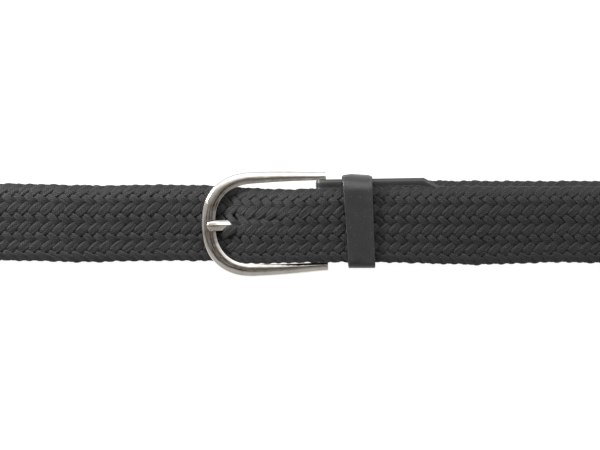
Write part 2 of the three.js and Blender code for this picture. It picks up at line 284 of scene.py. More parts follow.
def chrome_plated_zinc():
    material, tree, shader = finish("chrome_plated_zinc", Metallic=1.0)
    place = add(tree, "ShaderNodeTexCoord").outputs["Object"]
    waves = add(tree, "ShaderNodeTexNoise",
                {"Vector": place, "Scale": 1 / (POLISHING_WAVES * MM), "Detail": 2.0})
    lines = add(tree, "ShaderNodeTexNoise", {"Vector": place, "Scale": 1 / (HAIRLINES * MM), "Detail": 4.0})
    rough = add(tree, "ShaderNodeMapRange",
                {"Value": lines.outputs["Fac"], "From Min": 0.3, "From Max": 0.7,
                 "To Min": 0.05, "To Max": 0.12})
    worn = add(tree, "ShaderNodeTexNoise",
               {"Vector": place, "Scale": 1 / (WORN_PATCHES * MM), "Detail": 3.0})
    worn = add(tree, "ShaderNodeMapRange",
               {"Value": worn.outputs["Fac"], "From Min": 0.5, "From Max": 0.72})
    colour = add(tree, "ShaderNodeMix", {0: worn, 6: linear("#cfcecb"), 7: linear("#b9b2ac")},
                 data_type="RGBA")
    bump = add(tree, "ShaderNodeBump",
               {"Height": waves.outputs["Fac"], "Strength": 0.5, "Distance": WAVE_DEPTH * MM})
    tree.links.new(colour.outputs[2], shader.inputs["Base Color"])
    tree.links.new(rough.outputs[0], shader.inputs["Roughness"])
    tree.links.new(bump.outputs[0], shader.inputs["Normal"])
    return material


CHROME = chrome_plated_zinc()
print("finish", CHROME.name)

# %% [markdown]
# The leather is sewn with bonded polyester, black as the leather but duller. Its plies give the eye a
# fine mottling half a millimetre long.

# %% The thread's finish
PLIES = 0.5
PLY_DEPTH = 0.1


def bonded_polyester_thread():
    material, tree, shader = finish("bonded_polyester_thread", Roughness=0.65, Sheen_Weight=0.1)
    place = add(tree, "ShaderNodeTexCoord").outputs["Object"]
    plies = add(tree, "ShaderNodeTexNoise", {"Vector": place, "Scale": 1 / (PLIES * MM), "Detail": 2.0})
    plies = plies.outputs["Fac"]
    colour = add(tree, "ShaderNodeMix", {0: plies, 6: linear("#161617"), 7: linear("#2a2a2b")},
                 data_type="RGBA")
    bump = add(tree, "ShaderNodeBump", {"Height": plies, "Strength": 0.4, "Distance": PLY_DEPTH * MM})
    tree.links.new(colour.outputs[2], shader.inputs["Base Color"])
    tree.links.new(bump.outputs[0], shader.inputs["Normal"])
    return material


THREAD = bonded_polyester_thread()
print("finish", THREAD.name)

# %% [markdown]
# The strap's route is the backbone of the piece: from its sewn end at the buckle, round the loop and
# on, under the frame's bend and over its bar, to the free end. It could be drawn by hand in Blender,
# but a table of rows can be read and mended. Each row also says how wide the strap is there, how far
# the tongue lifts its middle, and how long one stitch of the plait is, because a stretched plait is
# longer.

# %% The strap's route
COLUMNS = ("x", "y", "z", "width", "crown", "stitch")
ROUTE = [dict(zip(COLUMNS, row)) for row in (
    (4.2, 3, 9.2, 34.6, 0, 5.15),
    (60, 3.1, 9.2, 34.6, 0, 5.15),
    (110, 2.85, 9.5, 34.6, 0, 5.15),
    (150, 3, 10.4, 34.8, 0, 5.15),
    (190, 3, 13, 35, 0, 5.15),
    (212, 3, 15.4, 35, 0, 5.2),
    (228, 3, 15.6, 35, 0, 5.3),
    (237, 3, 11.6, 35, 0, 5.3),
    (236, 3, 6, 35, 0, 5.3),
    (226, 3, 2.4, 35, 0, 5.3),
    (208, 2.9, 1.8, 35, 0, 5.3),
    (190, 2.7, 1.8, 35, 0, 5.3),
    (120, 1.6, 1.8, 34.6, 0, 5.3),
    (0, -0.3, 1.8, 33.4, 0, 5.3),
    (-16, -0.5, 1.8, 32.8, 0, 5.3),
    (-50, 0.9, 1.8, 33.2, 0, 5.3),
    (-75, 1.5, 1.8, 33.4, 0, 5.3),
    (-110, 1.1, 1.8, 34, 0, 5.3),
    (-180, 1.6, 1.8, 35, 0, 5.3),
    (-200, 1.6, 1.8, 35, 0, 5.3),
    (-217, 1.6, 2.4, 35, 0, 5.35),
    (-227, 1.6, 6, 35, 0, 5.37),
    (-228, 1.6, 11.6, 35, 0, 5.37),
    (-219, 1.6, 15.8, 35, 0, 5.37),
    (-203, 1.6, 15.8, 35.2, 0, 5.37),
    (-180, 1.6, 13.2, 35.2, 0, 5.37),
    (-140, 1.45, 9.3, 35, 0, 5.37),
    (-116, 0.85, 7.9, 35.1, 0, 5.37),
    (-104, 0.75, 7.1, 34.8, 0, 5.37),
    (-95, 1, 6.7, 34.9, 0, 5.37),
    (-86, 1.1, 6.4, 35, 0, 5.35),
    (-76, 1.15, 6.1, 34.8, 0, 5.32),
    (-62, 1.15, 5.9, 34.6, 0, 5.3),
    (-52, 0.95, 5.8, 34.4, 0.2, 5.2),
    (-47, 0.7, 6.5, 34.3, 0.9, 5.15),
    (-42, 0.2, 7.5, 34.6, 2.2, 5.1),
    (-38, 0, 8.9, 34.6, 2.1, 5.1),
    (-33, -0.15, 10.5, 34.4, 2.1, 5.1),
    (-26, -0.35, 11.8, 33.9, 1.9, 5.08),
    (-18, -0.4, 13.2, 33.4, 1.2, 5.06),
    (-12, -0.35, 14.1, 33.2, 0.6, 5.05),
    (-5, -0.1, 14.7, 33.3, 0.1, 5.05),
    (17, 0.3, 14.8, 34, 0, 5.05),
    (31, 0.35, 14.8, 34.3, 0, 5.08),
    (41, 0.25, 14.8, 34.6, 0, 5.1),
    (52, 0.05, 14.8, 35, 0, 5.15),
    (72, -0.1, 14.8, 35.5, 0, 5.15),
    (86, 0.1, 14.8, 35.2, 0, 5.15),
    (96, 0.35, 14.8, 34.7, 0, 5.15),
    (108, 0.45, 14.8, 34.4, 0, 5.15),
    (120, 0.3, 15.1, 34.6, 0, 5.15),
    (133, 0.2, 15.6, 34.6, 0, 5.15),
    (172, -0.1, 17.4, 34.6, 0, 5.15),
    (190, -0.1, 19.2, 34.6, 0, 5.15),
)]
# The cords end in the last row but one, and the leather tip starts in the row before it. The floor
# and the two bends hold the strap between two rows, and past a third it comes up to the buckle.
STRAP_END = len(ROUTE) - 2
TIP_START = len(ROUTE) - 3
ON_THE_FLOOR = (8, 23)
FREE_RUN = 27
print("the route has", len(ROUTE), "rows")

# %% [markdown]
# A curve through the rows has to keep flat stretches flat and must not swing out beside a short step.
# The curve that does both is the centripetal one, whose pace between two rows goes by the square
# root of their distance. Blender's own curves have no such kind, so it is worked out here.

# %% The curve through the route
LOWEST_MIDDLE = 2.1


def on_route(station):
    """The strap's middle, its width, crown and stitch length at a row number with a fraction."""
    row = min(int(station), len(ROUTE) - 2)
    share = station - row
    spots = [Vector((r["x"], r["y"], r["z"])) for r in ROUTE]
    spots = [2 * spots[0] - spots[1], *spots, 2 * spots[-1] - spots[-2]]
    a, b, c, d = spots[row:row + 4]
    ab, bc, cd = ((q - p).length ** 0.5 for p, q in ((a, b), (b, c), (c, d)))
    leave = ((b - a) / ab - (c - a) / (ab + bc) + (c - b) / bc) * bc
    arrive = ((c - b) / bc - (d - b) / (bc + cd) + (d - c) / cd) * bc
    middle = (b + leave * share + (3 * (c - b) - 2 * leave - arrive) * share ** 2
              + (2 * (b - c) + leave + arrive) * share ** 3)
    middle.z = max(middle.z, LOWEST_MIDDLE)
    rest = {key: ROUTE[row][key] * (1 - share) + ROUTE[row + 1][key] * share
            for key in ("width", "crown", "stitch")}
    return middle, rest


def route_stations(first, last, spacing):
    """Row numbers with fractions, about as far apart as the spacing in millimetres."""
    stations = []
    for row in range(first, last):
        length = (on_route(row + 1)[0] - on_route(row)[0]).length
        steps = max(2, round(length / spacing))
        stations += [row + i / steps for i in range(steps)]
    return stations + [float(last)]


strap_middle = [on_route(station)[0] for station in route_stations(0, STRAP_END, spacing=5.0)]
strap_length = sum((b - a).length for a, b in zip(strap_middle, strap_middle[1:]))
print("the strap's cords run", round(strap_length), "mm")

# %% [markdown]
# No hand or machine lays every stitch alike. A few slow waves, added to the count of stitches along
# the strap, draw some stitches out and press others together, as the photograph shows. The line
# also finds the stitch at which the tongue comes up between the cords.

# %% The middle line with its stitches counted
STITCH_PHASE = 0.39
STITCH_WANDER = ((0.07, 0.37), (0.05, 0.83), (0.03, 1.9))
LINE_SPACING = 1.0
TONGUE_SHOWS_TO = -43.0


def make_route_line():
    """The middle line as a chain of edges; each point keeps its width, crown and count of stitches."""
    stations = route_stations(0, STRAP_END, LINE_SPACING)
    line = [on_route(station) for station in stations]
    points = [middle for middle, _ in line]
    counts = [0.0]
    for i in range(1, len(line)):
        counts.append(counts[-1] + (points[i] - points[i - 1]).length / line[i][1]["stitch"])
    counts = [n + STITCH_PHASE + sum(size * math.sin(pace * n) for size, pace in STITCH_WANDER)
              for n in counts]
    made = mesh_object("strap_line", points, edges=[(i, i + 1) for i in range(len(points) - 1)])
    # Where nothing holds the strap from below, its far edge may droop; over two rows it begins to.
    drooping = [max(0.0, min(1.0, max(ON_THE_FLOOR[0] - station, station - ON_THE_FLOOR[1]) / 2))
                for station in stations]
    made.data.attributes.new("edge_drop", "FLOAT", "POINT").data.foreach_set("value", drooping)
    form = made.data.attributes.new("form", "FLOAT_VECTOR", "POINT")
    rows = [(rest["width"] * MM, rest["crown"] * MM, count) for (_, rest), count in zip(line, counts)]
    form.data.foreach_set("vector", [value for row in rows for value in row])
    parting = next(n for n, station, point in zip(counts, stations, points)
                   if station > FREE_RUN and point.x > TONGUE_SHOWS_TO)
    return made, parting


print("the stitches wander by", round(sum(size for size, _ in STITCH_WANDER), 2), "of a stitch at most")

# %% [markdown]
# A flat plait of seventeen cords follows one rule. Every cord runs slantwise from edge to edge and
# back, so across the strap it is a triangle wave, and each next cord is one stitch behind the last.
# Between the edges it crosses sixteen others, over two and under two. The rule is a formula of the
# distance along the strap and the cord's number, which is what Geometry Nodes are good at: the tree
# copies the middle line once for each cord, moves its points by the rule and sweeps the cord's
# section along it. Painting the cords on a band would be quicker, but it would lose the relief that
# makes this strap, and its edges would be straight lines instead of a row of small bends.
#
# Four things keep the plait from looking like a drawing of one. Cords that rise to the far edge are
# fuller than those that fall back to the near one, each cord leans a little, like a roof tile on its
# neighbour, a soft noise moves each cord a few tenths of a millimetre, and the strap's far edge
# droops where nothing holds it up.

# %% Sizes of the plait
CORDS = 17
CORD_WIDTH = 3.9
CORD_THICKNESS = 1.5
# How far a cord goes up and down as it passes over and under the others.
RELIEF = 0.66
TILT = 0.12
BOW = 0.1
UNEVENNESS = 1.0
NOISE_LENGTH = 11.0
ROW_SHIFT = -0.5
EDGE_DROP = 3.3
# The turn at the edge: 1 would be a sharp corner, and the inset is a share of the cord's width.
EDGE_ROUNDING = 0.97
EDGE_INSET = 0.27
# Points of the sweep are this far apart along the strap.
STEP = 0.8

PLAIT_COUNTS = {"Cords": CORDS, "First Cord": 0, "Cords Here": 1}
PLAIT_SIZES = {
    "Cord Width": CORD_WIDTH * MM,
    "Cord Thickness": CORD_THICKNESS * MM,
    "Relief": RELIEF * MM,
    "Tilt": TILT,
    "Bow": BOW * MM,
    "Unevenness": UNEVENNESS * MM,
    "Row Shift": ROW_SHIFT * MM,
    "Edge Drop": EDGE_DROP * MM,
    "Step": STEP * MM,
    "Parting Stitch": 0.0,
}


def new_tree(name, counts, sizes):
    """An empty tree of Geometry Nodes with named inputs, and its input sockets."""
    tree = bpy.data.node_groups.new(name, "GeometryNodeTree")
    face = tree.interface
    face.new_socket("Geometry", in_out="INPUT", socket_type="NodeSocketGeometry")
    for label, value in counts.items():
        face.new_socket(label, in_out="INPUT", socket_type="NodeSocketInt").default_value = value
    for label, value in sizes.items():
        face.new_socket(label, in_out="INPUT", socket_type="NodeSocketFloat").default_value = value
    face.new_socket("Geometry", in_out="OUTPUT", socket_type="NodeSocketGeometry")
    return tree, tree.nodes.new("NodeGroupInput").outputs


print("one cord comes back to the same edge after", CORDS, "stitches")

# %% [markdown]
# Where a cord is on its way is one number: how many crossings it has passed since the near edge. It
# climbs to the number of cords, at the far edge, and falls back. The same number gives the wave of
# the cord's height. A plain sine wave would make narrow bumps, so it is made steeper and cut off
# softly by a hyperbolic tangent, which leaves a flat stretch over two cords and one under two.

# %% A cord's way through the plait
FIRST_FULL_WAVE = 2.5
STITCHES_PER_EDGE_WAVE = 2.5
STEEPNESS = 1.9


def cord_way(tree, given, stitch, number):
    """Sockets that say where on its way a point of a cord is."""
    turn = add(tree, MATH, [stitch, number], operation="ADD")
    twice = add(tree, MATH, [turn, 2.0], operation="MULTIPLY")
    crossing = add(tree, MATH, [twice, given["Cords"]], operation="PINGPONG")
    round_trip = add(tree, MATH, [turn, given["Cords"]], operation="DIVIDE")
    round_trip = add(tree, MATH, [round_trip], operation="FRACT")
    rising = add(tree, MATH, [round_trip, 0.5], operation="LESS_THAN")
    side = add(tree, MATH, [rising, 2.0, -1.0], operation="MULTIPLY_ADD")

    # The half waves at the edges are longer, so that the cord is in the middle of the strap's
    # thickness where it turns.
    inner = add(tree, "ShaderNodeClamp",
                {"Value": crossing, "Min": FIRST_FULL_WAVE, "Max": CORDS - FIRST_FULL_WAVE})
    outer = add(tree, MATH, [crossing, inner], operation="SUBTRACT")
    angle = add(tree, MATH, [inner, FIRST_FULL_WAVE], operation="SUBTRACT")
    angle = add(tree, MATH, [angle, math.pi / 2], operation="MULTIPLY")
    angle = add(tree, MATH, [outer, math.pi / STITCHES_PER_EDGE_WAVE, angle], operation="MULTIPLY_ADD")
    from_far = add(tree, MATH, [given["Cords"], crossing], operation="SUBTRACT")
    from_edge = add(tree, MATH, [crossing, from_far], operation="MINIMUM")
    inside = add(tree, MATH, [from_edge, 0.5], operation="MULTIPLY", use_clamp=True)
    wave = add(tree, MATH, [angle], operation="SINE")
    wave = add(tree, MATH, [wave, STEEPNESS], operation="MULTIPLY")
    wave = add(tree, MATH, [wave], operation="TANH")
    on_top = add(tree, MATH, [wave, side], operation="MULTIPLY")
    return SimpleNamespace(stitch=stitch, crossing=crossing, rising=rising, side=side, angle=angle,
                           inside=inside, wave=wave, on_top=on_top)


print("the flattened wave reaches", round(math.tanh(STEEPNESS), 2), "of its full height")

# %% [markdown]
# Across the strap, the triangle wave has its peaks rounded, so that the cords turn at the edges as
# soft loops do. A sine passed through an arcsine gives the triangle, and a sine that is a little
# smaller gives the round peak. A small bow makes the rows of rising cords a little taller than the
# rows of falling ones, as they are in the photograph.

# %% A cord's place across the strap
def place_across(tree, given, way, width, noise_across):
    """Sockets for the distance from the strap's middle line and for half the strap's width."""
    swing = add(tree, MATH, [way.crossing, given["Cords"]], operation="DIVIDE")
    swing = add(tree, MATH, [swing, math.pi, -math.pi / 2], operation="MULTIPLY_ADD")
    swing = add(tree, MATH, [swing], operation="SINE")
    swing = add(tree, MATH, [swing, EDGE_ROUNDING], operation="MULTIPLY")
    swing = add(tree, MATH, [swing], operation="ARCSINE")
    half = add(tree, MATH, [width, 0.5], operation="MULTIPLY")
    reach = add(tree, MATH, [given["Cord Width"], -EDGE_INSET, half], operation="MULTIPLY_ADD")
    reach = add(tree, MATH, [reach, math.asin(EDGE_ROUNDING)], operation="DIVIDE")
    across = add(tree, MATH, [swing, reach], operation="MULTIPLY")
    bow = add(tree, MATH, [way.angle], operation="COSINE")
    bow = add(tree, MATH, [bow, given["Bow"]], operation="MULTIPLY")
    bow = add(tree, MATH, [bow, way.inside], operation="MULTIPLY")
    across = add(tree, MATH, [across, bow], operation="SUBTRACT")
    across = add(tree, MATH, [noise_across, given["Unevenness"], across], operation="MULTIPLY_ADD")
    return across, half


rounded_off = 1 - math.asin(EDGE_ROUNDING) / (math.pi / 2)
print("the rounding takes", round(rounded_off, 2), "off the triangle's peaks")

# %% [markdown]
# A cord's height over the middle line has three parts: its own wave, the bulge that the tongue
# pushes up in the strap's middle, and the droop of the far edge. The bulge and the droop both follow
# the fourth power of the distance across, so the slope of that surface follows from them, and the
# sections of the cords lean with it.

# %% A cord's height
NOISE_IN_HEIGHT = 0.3
SURFACE_POWER = 4.0


def place_up(tree, given, way, across, half, crown, noise_up):
    """Sockets for the place across, shifted, and for the height, the bulge and the fall to the side."""
    height = add(tree, MATH, [way.on_top, given["Relief"]], operation="MULTIPLY")
    uneven = add(tree, MATH, [noise_up, given["Unevenness"]], operation="MULTIPLY")
    height = add(tree, MATH, [uneven, NOISE_IN_HEIGHT, height], operation="MULTIPLY_ADD")
    share = add(tree, MATH, [across, half], operation="DIVIDE")
    share = add(tree, MATH, [share, share], operation="MULTIPLY")
    flat = add(tree, MATH, [1.0, share], operation="SUBTRACT")
    across = add(tree, MATH, [flat, given["Row Shift"], across], operation="MULTIPLY_ADD")
    bulge = add(tree, MATH, [crown, flat], operation="MULTIPLY")
    lift = add(tree, MATH, [bulge, flat], operation="MULTIPLY")
    drop = add(tree, "GeometryNodeInputNamedAttribute", {"Name": "edge_drop"}, data_type="FLOAT")
    drop = add(tree, MATH, [drop.outputs["Attribute"], given["Edge Drop"]], operation="MULTIPLY")
    far_half = add(tree, MATH, [across, 0.0], operation="GREATER_THAN")
    share = add(tree, MATH, [share, share], operation="MULTIPLY")
    share = add(tree, MATH, [share, far_half], operation="MULTIPLY")
    drop = add(tree, MATH, [drop, share], operation="MULTIPLY")
    height = add(tree, MATH, [height, drop], operation="SUBTRACT")

    falls = add(tree, MATH, [drop, across], operation="DIVIDE")
    bulge_falls = add(tree, MATH, [bulge, across], operation="MULTIPLY")
    half_squared = add(tree, MATH, [half, half], operation="MULTIPLY")
    bulge_falls = add(tree, MATH, [bulge_falls, half_squared], operation="DIVIDE")
    falls = add(tree, MATH, [falls, bulge_falls], operation="ADD")
    falls = add(tree, MATH, [falls, SURFACE_POWER], operation="MULTIPLY")
    return across, height, lift, falls


print("a cord rises and falls by", RELIEF, "mm and the far edge droops by", EDGE_DROP, "mm at most")

# %% [markdown]
# Where the tongue comes up through the strap, it parts the cords. A cord that crosses the tongue's
# line on the bar's side of that place goes over the metal, and every other one goes under it. So
# each cord needs to know where it will cross the line, which follows from its place in the wave.

# %% The parting round the tongue
# The buckle's middle line lies this far across and is turned by this angle.
BUCKLE_Y = 1.72
SKEW = math.radians(2.4)
TONGUE_LINE = {"y": BUCKLE_Y, "slope": math.tan(SKEW)}
TONGUE_TOP = {"z": 11.5, "slope": -0.17}
TONGUE_UNDERSIDE = {"z": 9.5, "slope": -0.19}
PARTING_HALF_WIDTH = 2.3
PARTING_FADE = 6.5
PARTING_REACH = 5.0
LATE_FALLING = -0.6
PUSHED_ASIDE = -1.3


def part_round_tongue(tree, given, way, spot, across, height, lift):
    """Sockets for the place across and the lift, changed where the tongue is in the way."""
    spot_x, spot_y, spot_z = spot
    raised = add(tree, MATH, [spot_z, height], operation="ADD")
    raised = add(tree, MATH, [raised, lift], operation="ADD")
    to_middle = add(tree, MATH, [CORDS / 2, way.crossing], operation="SUBTRACT")
    to_middle = add(tree, MATH, [to_middle, way.side], operation="MULTIPLY")
    meets_line = add(tree, MATH, [to_middle, 0.5, way.stitch], operation="MULTIPLY_ADD")
    late = add(tree, MATH, [way.rising, -LATE_FALLING, meets_line], operation="MULTIPLY_ADD")
    late = add(tree, MATH, [late, LATE_FALLING], operation="ADD")
    over = add(tree, MATH, [late, given["Parting Stitch"]], operation="GREATER_THAN")

    # A cord over the tongue rests on it and a cord under it is pressed down by it.
    half_cord = add(tree, MATH, [given["Cord Thickness"], 0.5], operation="MULTIPLY")
    from_parting = add(tree, MATH, [spot_x, -TONGUE_SHOWS_TO * MM], operation="ADD")
    top = add(tree, MATH, [from_parting, TONGUE_TOP["slope"], TONGUE_TOP["z"] * MM],
              operation="MULTIPLY_ADD")
    top = add(tree, MATH, [top, half_cord], operation="ADD")
    top = add(tree, MATH, [top, raised], operation="MAXIMUM")
    underside = add(tree, MATH, [from_parting, TONGUE_UNDERSIDE["slope"], TONGUE_UNDERSIDE["z"] * MM],
                    operation="MULTIPLY_ADD")
    underside = add(tree, MATH, [underside, half_cord], operation="SUBTRACT")
    underside = add(tree, MATH, [underside, raised], operation="MINIMUM")
    parted = add(tree, "ShaderNodeMix", {"Factor": over, "A": underside, "B": top})
    parted = add(tree, MATH, [parted, raised], operation="SUBTRACT")

    # The parting fades away beside the tongue and ends some stitches from where it comes up.
    line_y = add(tree, MATH, [spot_x, TONGUE_LINE["slope"], TONGUE_LINE["y"] * MM],
                 operation="MULTIPLY_ADD")
    beside = add(tree, MATH, [spot_y, across], operation="ADD")
    beside = add(tree, MATH, [beside, line_y], operation="SUBTRACT")
    beside = add(tree, MATH, [beside], operation="ABSOLUTE")
    near = add(tree, "ShaderNodeMapRange",
               {"Value": beside, "From Min": PARTING_FADE * MM, "From Max": PARTING_HALF_WIDTH * MM},
               interpolation_type="SMOOTHSTEP")
    away = add(tree, MATH, [way.stitch, given["Parting Stitch"]], operation="SUBTRACT")
    away = add(tree, MATH, [away], operation="ABSOLUTE")
    near_end = add(tree, MATH, [away, PARTING_REACH], operation="LESS_THAN")
    near = add(tree, MATH, [near, near_end], operation="MULTIPLY")
    lift = add(tree, MATH, [parted, near, lift], operation="MULTIPLY_ADD")
    falling = add(tree, MATH, [1.0, way.rising], operation="SUBTRACT")
    push = add(tree, MATH, [near, falling], operation="MULTIPLY")
    across = add(tree, MATH, [push, PUSHED_ASIDE * MM, across], operation="MULTIPLY_ADD")
    return across, lift


print("the parting is", 2 * PARTING_HALF_WIDTH, "mm wide where the tongue is")

# %% [markdown]
# The cord's section is a flattened oval with full edges: a round cord that is pressed between its
# neighbours spreads sideways. It is a circle whose points are moved, and each point keeps its
# direction for the pattern of the sheath.

# %% The cord's section
SECTION_SIDES = 16
MIDDLE_FULLNESS = 0.84
EDGE_FULLNESS = 0.9


def cord_section(tree, given):
    """A closed ring, as wide and thick as a cord."""
    ring = add(tree, "GeometryNodeCurvePrimitiveCircle", {"Resolution": SECTION_SIDES, "Radius": 1.0})
    direction = add(tree, "GeometryNodeInputPosition")
    ring = add(tree, "GeometryNodeStoreNamedAttribute",
               {"Geometry": ring, "Name": "around", "Value": direction},
               data_type="FLOAT_VECTOR", domain="POINT")
    ring_x, ring_y, _ = add(tree, "ShaderNodeSeparateXYZ", [direction]).outputs
    fuller = add(tree, MATH, [ring_y, ring_y], operation="MULTIPLY")
    fuller = add(tree, MATH, [fuller, EDGE_FULLNESS, MIDDLE_FULLNESS], operation="MULTIPLY_ADD")
    fuller = add(tree, MATH, [fuller, ring_x], operation="MULTIPLY")
    fuller = add(tree, "ShaderNodeCombineXYZ", {"X": fuller, "Y": ring_y})
    ring = add(tree, "GeometryNodeSetPosition", {"Geometry": ring, "Position": fuller})
    half_cord = add(tree, MATH, [given["Cord Thickness"], 0.5], operation="MULTIPLY")
    half_width = add(tree, MATH, [given["Cord Width"], 0.5], operation="MULTIPLY")
    size = add(tree, "ShaderNodeCombineXYZ", {"X": half_cord, "Y": half_width, "Z": 1.0})
    return add(tree, "GeometryNodeTransform", {"Geometry": ring, "Scale": size})


print("a cord's section is", CORD_WIDTH, "by", CORD_THICKNESS, "mm, with", SECTION_SIDES, "sides")

# %% [markdown]
# A sweep turns its section by the curve's normal, and the normal that Blender works out would twist
# along a cord that weaves. So the tree works out its own from the strap's upright and the cord's
# lean, and keeps on each point what the sweep needs before the points move. A cord is least full
# where its neighbours squeeze it.

# %% How a cord stands and how full it is
FULLNESS = {"squeezed": 0.73, "free": 0.26, "rising": 0.08, "noise": 0.35}
LEAN = {"rising": 0.5, "falling": 1.3}


def keep_on_points(tree, given, curves, way, up, falls, noise_size):
    """The curves with the attributes upright, tilt and fullness on their points."""
    fullness = add(tree, MATH, [way.wave, way.wave], operation="MULTIPLY")
    fullness = add(tree, MATH, [fullness, FULLNESS["free"], FULLNESS["squeezed"]], operation="MULTIPLY_ADD")
    fullness = add(tree, MATH, [way.side, FULLNESS["rising"], fullness], operation="MULTIPLY_ADD")
    fullness = add(tree, MATH, [noise_size, FULLNESS["noise"], fullness], operation="MULTIPLY_ADD")
    tilt = add(tree, MATH, [way.on_top, 0.5, 0.5], operation="MULTIPLY_ADD", use_clamp=True)
    tilt = add(tree, MATH, [tilt, given["Tilt"]], operation="MULTIPLY")
    lean = add(tree, MATH, [way.rising, LEAN["rising"] - LEAN["falling"], LEAN["falling"]],
               operation="MULTIPLY_ADD")
    tilt = add(tree, MATH, [tilt, lean], operation="MULTIPLY")
    falls = add(tree, "ShaderNodeCombineXYZ", {"Y": falls})
    up = add(tree, VECTOR_MATH, [up, falls], operation="ADD")
    up = add(tree, VECTOR_MATH, [up], operation="NORMALIZE")
    kept = add(tree, "GeometryNodeStoreNamedAttribute",
               {"Geometry": curves, "Name": "upright", "Value": up},
               data_type="FLOAT_VECTOR", domain="POINT")
    for name, value in {"tilt": tilt, "fullness": fullness}.items():
        kept = add(tree, "GeometryNodeStoreNamedAttribute",
                   {"Geometry": kept, "Name": name, "Value": value}, data_type="FLOAT", domain="POINT")
    return kept


def set_normals(tree, curves, tangent):
    """The curves with the kept upright as their normal, leaning by the kept tilt."""
    upright = add(tree, "GeometryNodeInputNamedAttribute", {"Name": "upright"}, data_type="FLOAT_VECTOR")
    tilt = add(tree, "GeometryNodeInputNamedAttribute", {"Name": "tilt"}, data_type="FLOAT")
    leftwards = add(tree, VECTOR_MATH, [upright, tangent], operation="CROSS_PRODUCT")
    leftwards = add(tree, VECTOR_MATH, {0: leftwards, "Scale": tilt}, operation="SCALE")
    leaning = add(tree, VECTOR_MATH, [upright, leftwards], operation="SUBTRACT")
    flatwise = add(tree, VECTOR_MATH, [leaning, tangent], operation="CROSS_PRODUCT")
    flatwise = add(tree, VECTOR_MATH, [flatwise], operation="NORMALIZE")
    normal = add(tree, VECTOR_MATH, [tangent, flatwise], operation="CROSS_PRODUCT")
    curves = add(tree, "GeometryNodeSetCurveNormal", {"Curve": curves}, mode="FREE")
    tree.links.new(normal.outputs[0], curves.inputs["Normal"])
    return curves


print("a squeezed cord keeps", FULLNESS["squeezed"], "of its section")

# %% [markdown]
# Now the parts come together in one tree. It copies the middle line, works out each copy's places,
# moves the points and sweeps the section along them. The noise is another one for each cord, because
# the cord's number is its fourth coordinate.

# %% The plait as a tree of nodes
NOISE_APART = 3.7


def plait_tree(material):
    tree, given = new_tree("flat_plait", PLAIT_COUNTS, PLAIT_SIZES)
    line = add(tree, "GeometryNodeMeshToCurve", {"Mesh": given["Geometry"]})
    line = add(tree, "GeometryNodeResampleCurve", {"Curve": line, "Length": given["Step"]}, mode="LENGTH")
    copies = add(tree, "GeometryNodeDuplicateElements",
                 {"Geometry": line, "Amount": given["Cords Here"]}, domain="SPLINE")
    form = add(tree, "GeometryNodeInputNamedAttribute", {"Name": "form"}, data_type="FLOAT_VECTOR")
    width, crown, stitch = add(tree, "ShaderNodeSeparateXYZ", [form.outputs["Attribute"]]).outputs
    position = add(tree, "GeometryNodeInputPosition")
    spot = add(tree, "ShaderNodeSeparateXYZ", [position]).outputs
    number = add(tree, MATH, [copies.outputs["Duplicate Index"], given["First Cord"]], operation="ADD")
    seed = add(tree, MATH, [number, NOISE_APART], operation="MULTIPLY")
    noise = add(tree, "ShaderNodeTexNoise", {"Vector": position, "W": seed, "Scale": 1 / (NOISE_LENGTH * MM),
                                             "Detail": 1.0}, noise_dimensions="4D")
    noise = add(tree, VECTOR_MATH, [noise.outputs["Color"], (0.5, 0.5, 0.5)], operation="SUBTRACT")
    noise_across, noise_up, noise_size = add(tree, "ShaderNodeSeparateXYZ", [noise]).outputs

    way = cord_way(tree, given, stitch, number)
    across, half = place_across(tree, given, way, width, noise_across)
    across, height, lift, falls = place_up(tree, given, way, across, half, crown, noise_up)
    across, lift = part_round_tongue(tree, given, way, spot, across, height, lift)

    tangent = add(tree, "GeometryNodeInputTangent")
    up = add(tree, VECTOR_MATH, [tangent, (0, 1, 0)], operation="CROSS_PRODUCT")
    up = add(tree, VECTOR_MATH, [up], operation="NORMALIZE")
    lifted = add(tree, VECTOR_MATH, {0: up, "Scale": height}, operation="SCALE")
    moved = add(tree, "ShaderNodeCombineXYZ", {"Y": across, "Z": lift})
    moved = add(tree, VECTOR_MATH, [lifted, moved], operation="ADD")
    kept = keep_on_points(tree, given, copies, way, up, falls, noise_size)
    placed = add(tree, "GeometryNodeSetPosition", {"Geometry": kept, "Offset": moved})
    placed = set_normals(tree, placed, tangent)
    along = add(tree, "GeometryNodeSplineParameter").outputs["Length"]
    placed = add(tree, "GeometryNodeStoreNamedAttribute",
                 {"Geometry": placed, "Name": "along", "Value": along}, data_type="FLOAT", domain="POINT")

    fullness = add(tree, "GeometryNodeInputNamedAttribute", {"Name": "fullness"}, data_type="FLOAT")
    swept = add(tree, "GeometryNodeCurveToMesh",
                {"Curve": placed, "Profile Curve": cord_section(tree, given),
                 "Scale": fullness.outputs["Attribute"], "Fill Caps": True})
    swept = add(tree, "GeometryNodeSetShadeSmooth", {"Geometry": swept})
    swept = add(tree, "GeometryNodeRealizeInstances", {"Geometry": swept})
    swept = add(tree, "GeometryNodeSetMaterial", {"Geometry": swept, "Material": material})
    add(tree, "NodeGroupOutput", [swept])
    return tree


PLAIT = plait_tree(CORD)
print("the plait's tree has", len(PLAIT.nodes), "nodes")

# %% [markdown]
# Seventeen cords a metre long hold too many faces for one mesh, so the plait is made in five pieces
# of three or four cords. Each piece runs the same tree on the same line, with another first cord.

# %% The cords
CORD_GROUPS = ((0, 4), (4, 4), (8, 3), (11, 3), (14, 3))
SOCKETS = {item.name: item.identifier for item in PLAIT.interface.items_tree if item.in_out == "INPUT"}

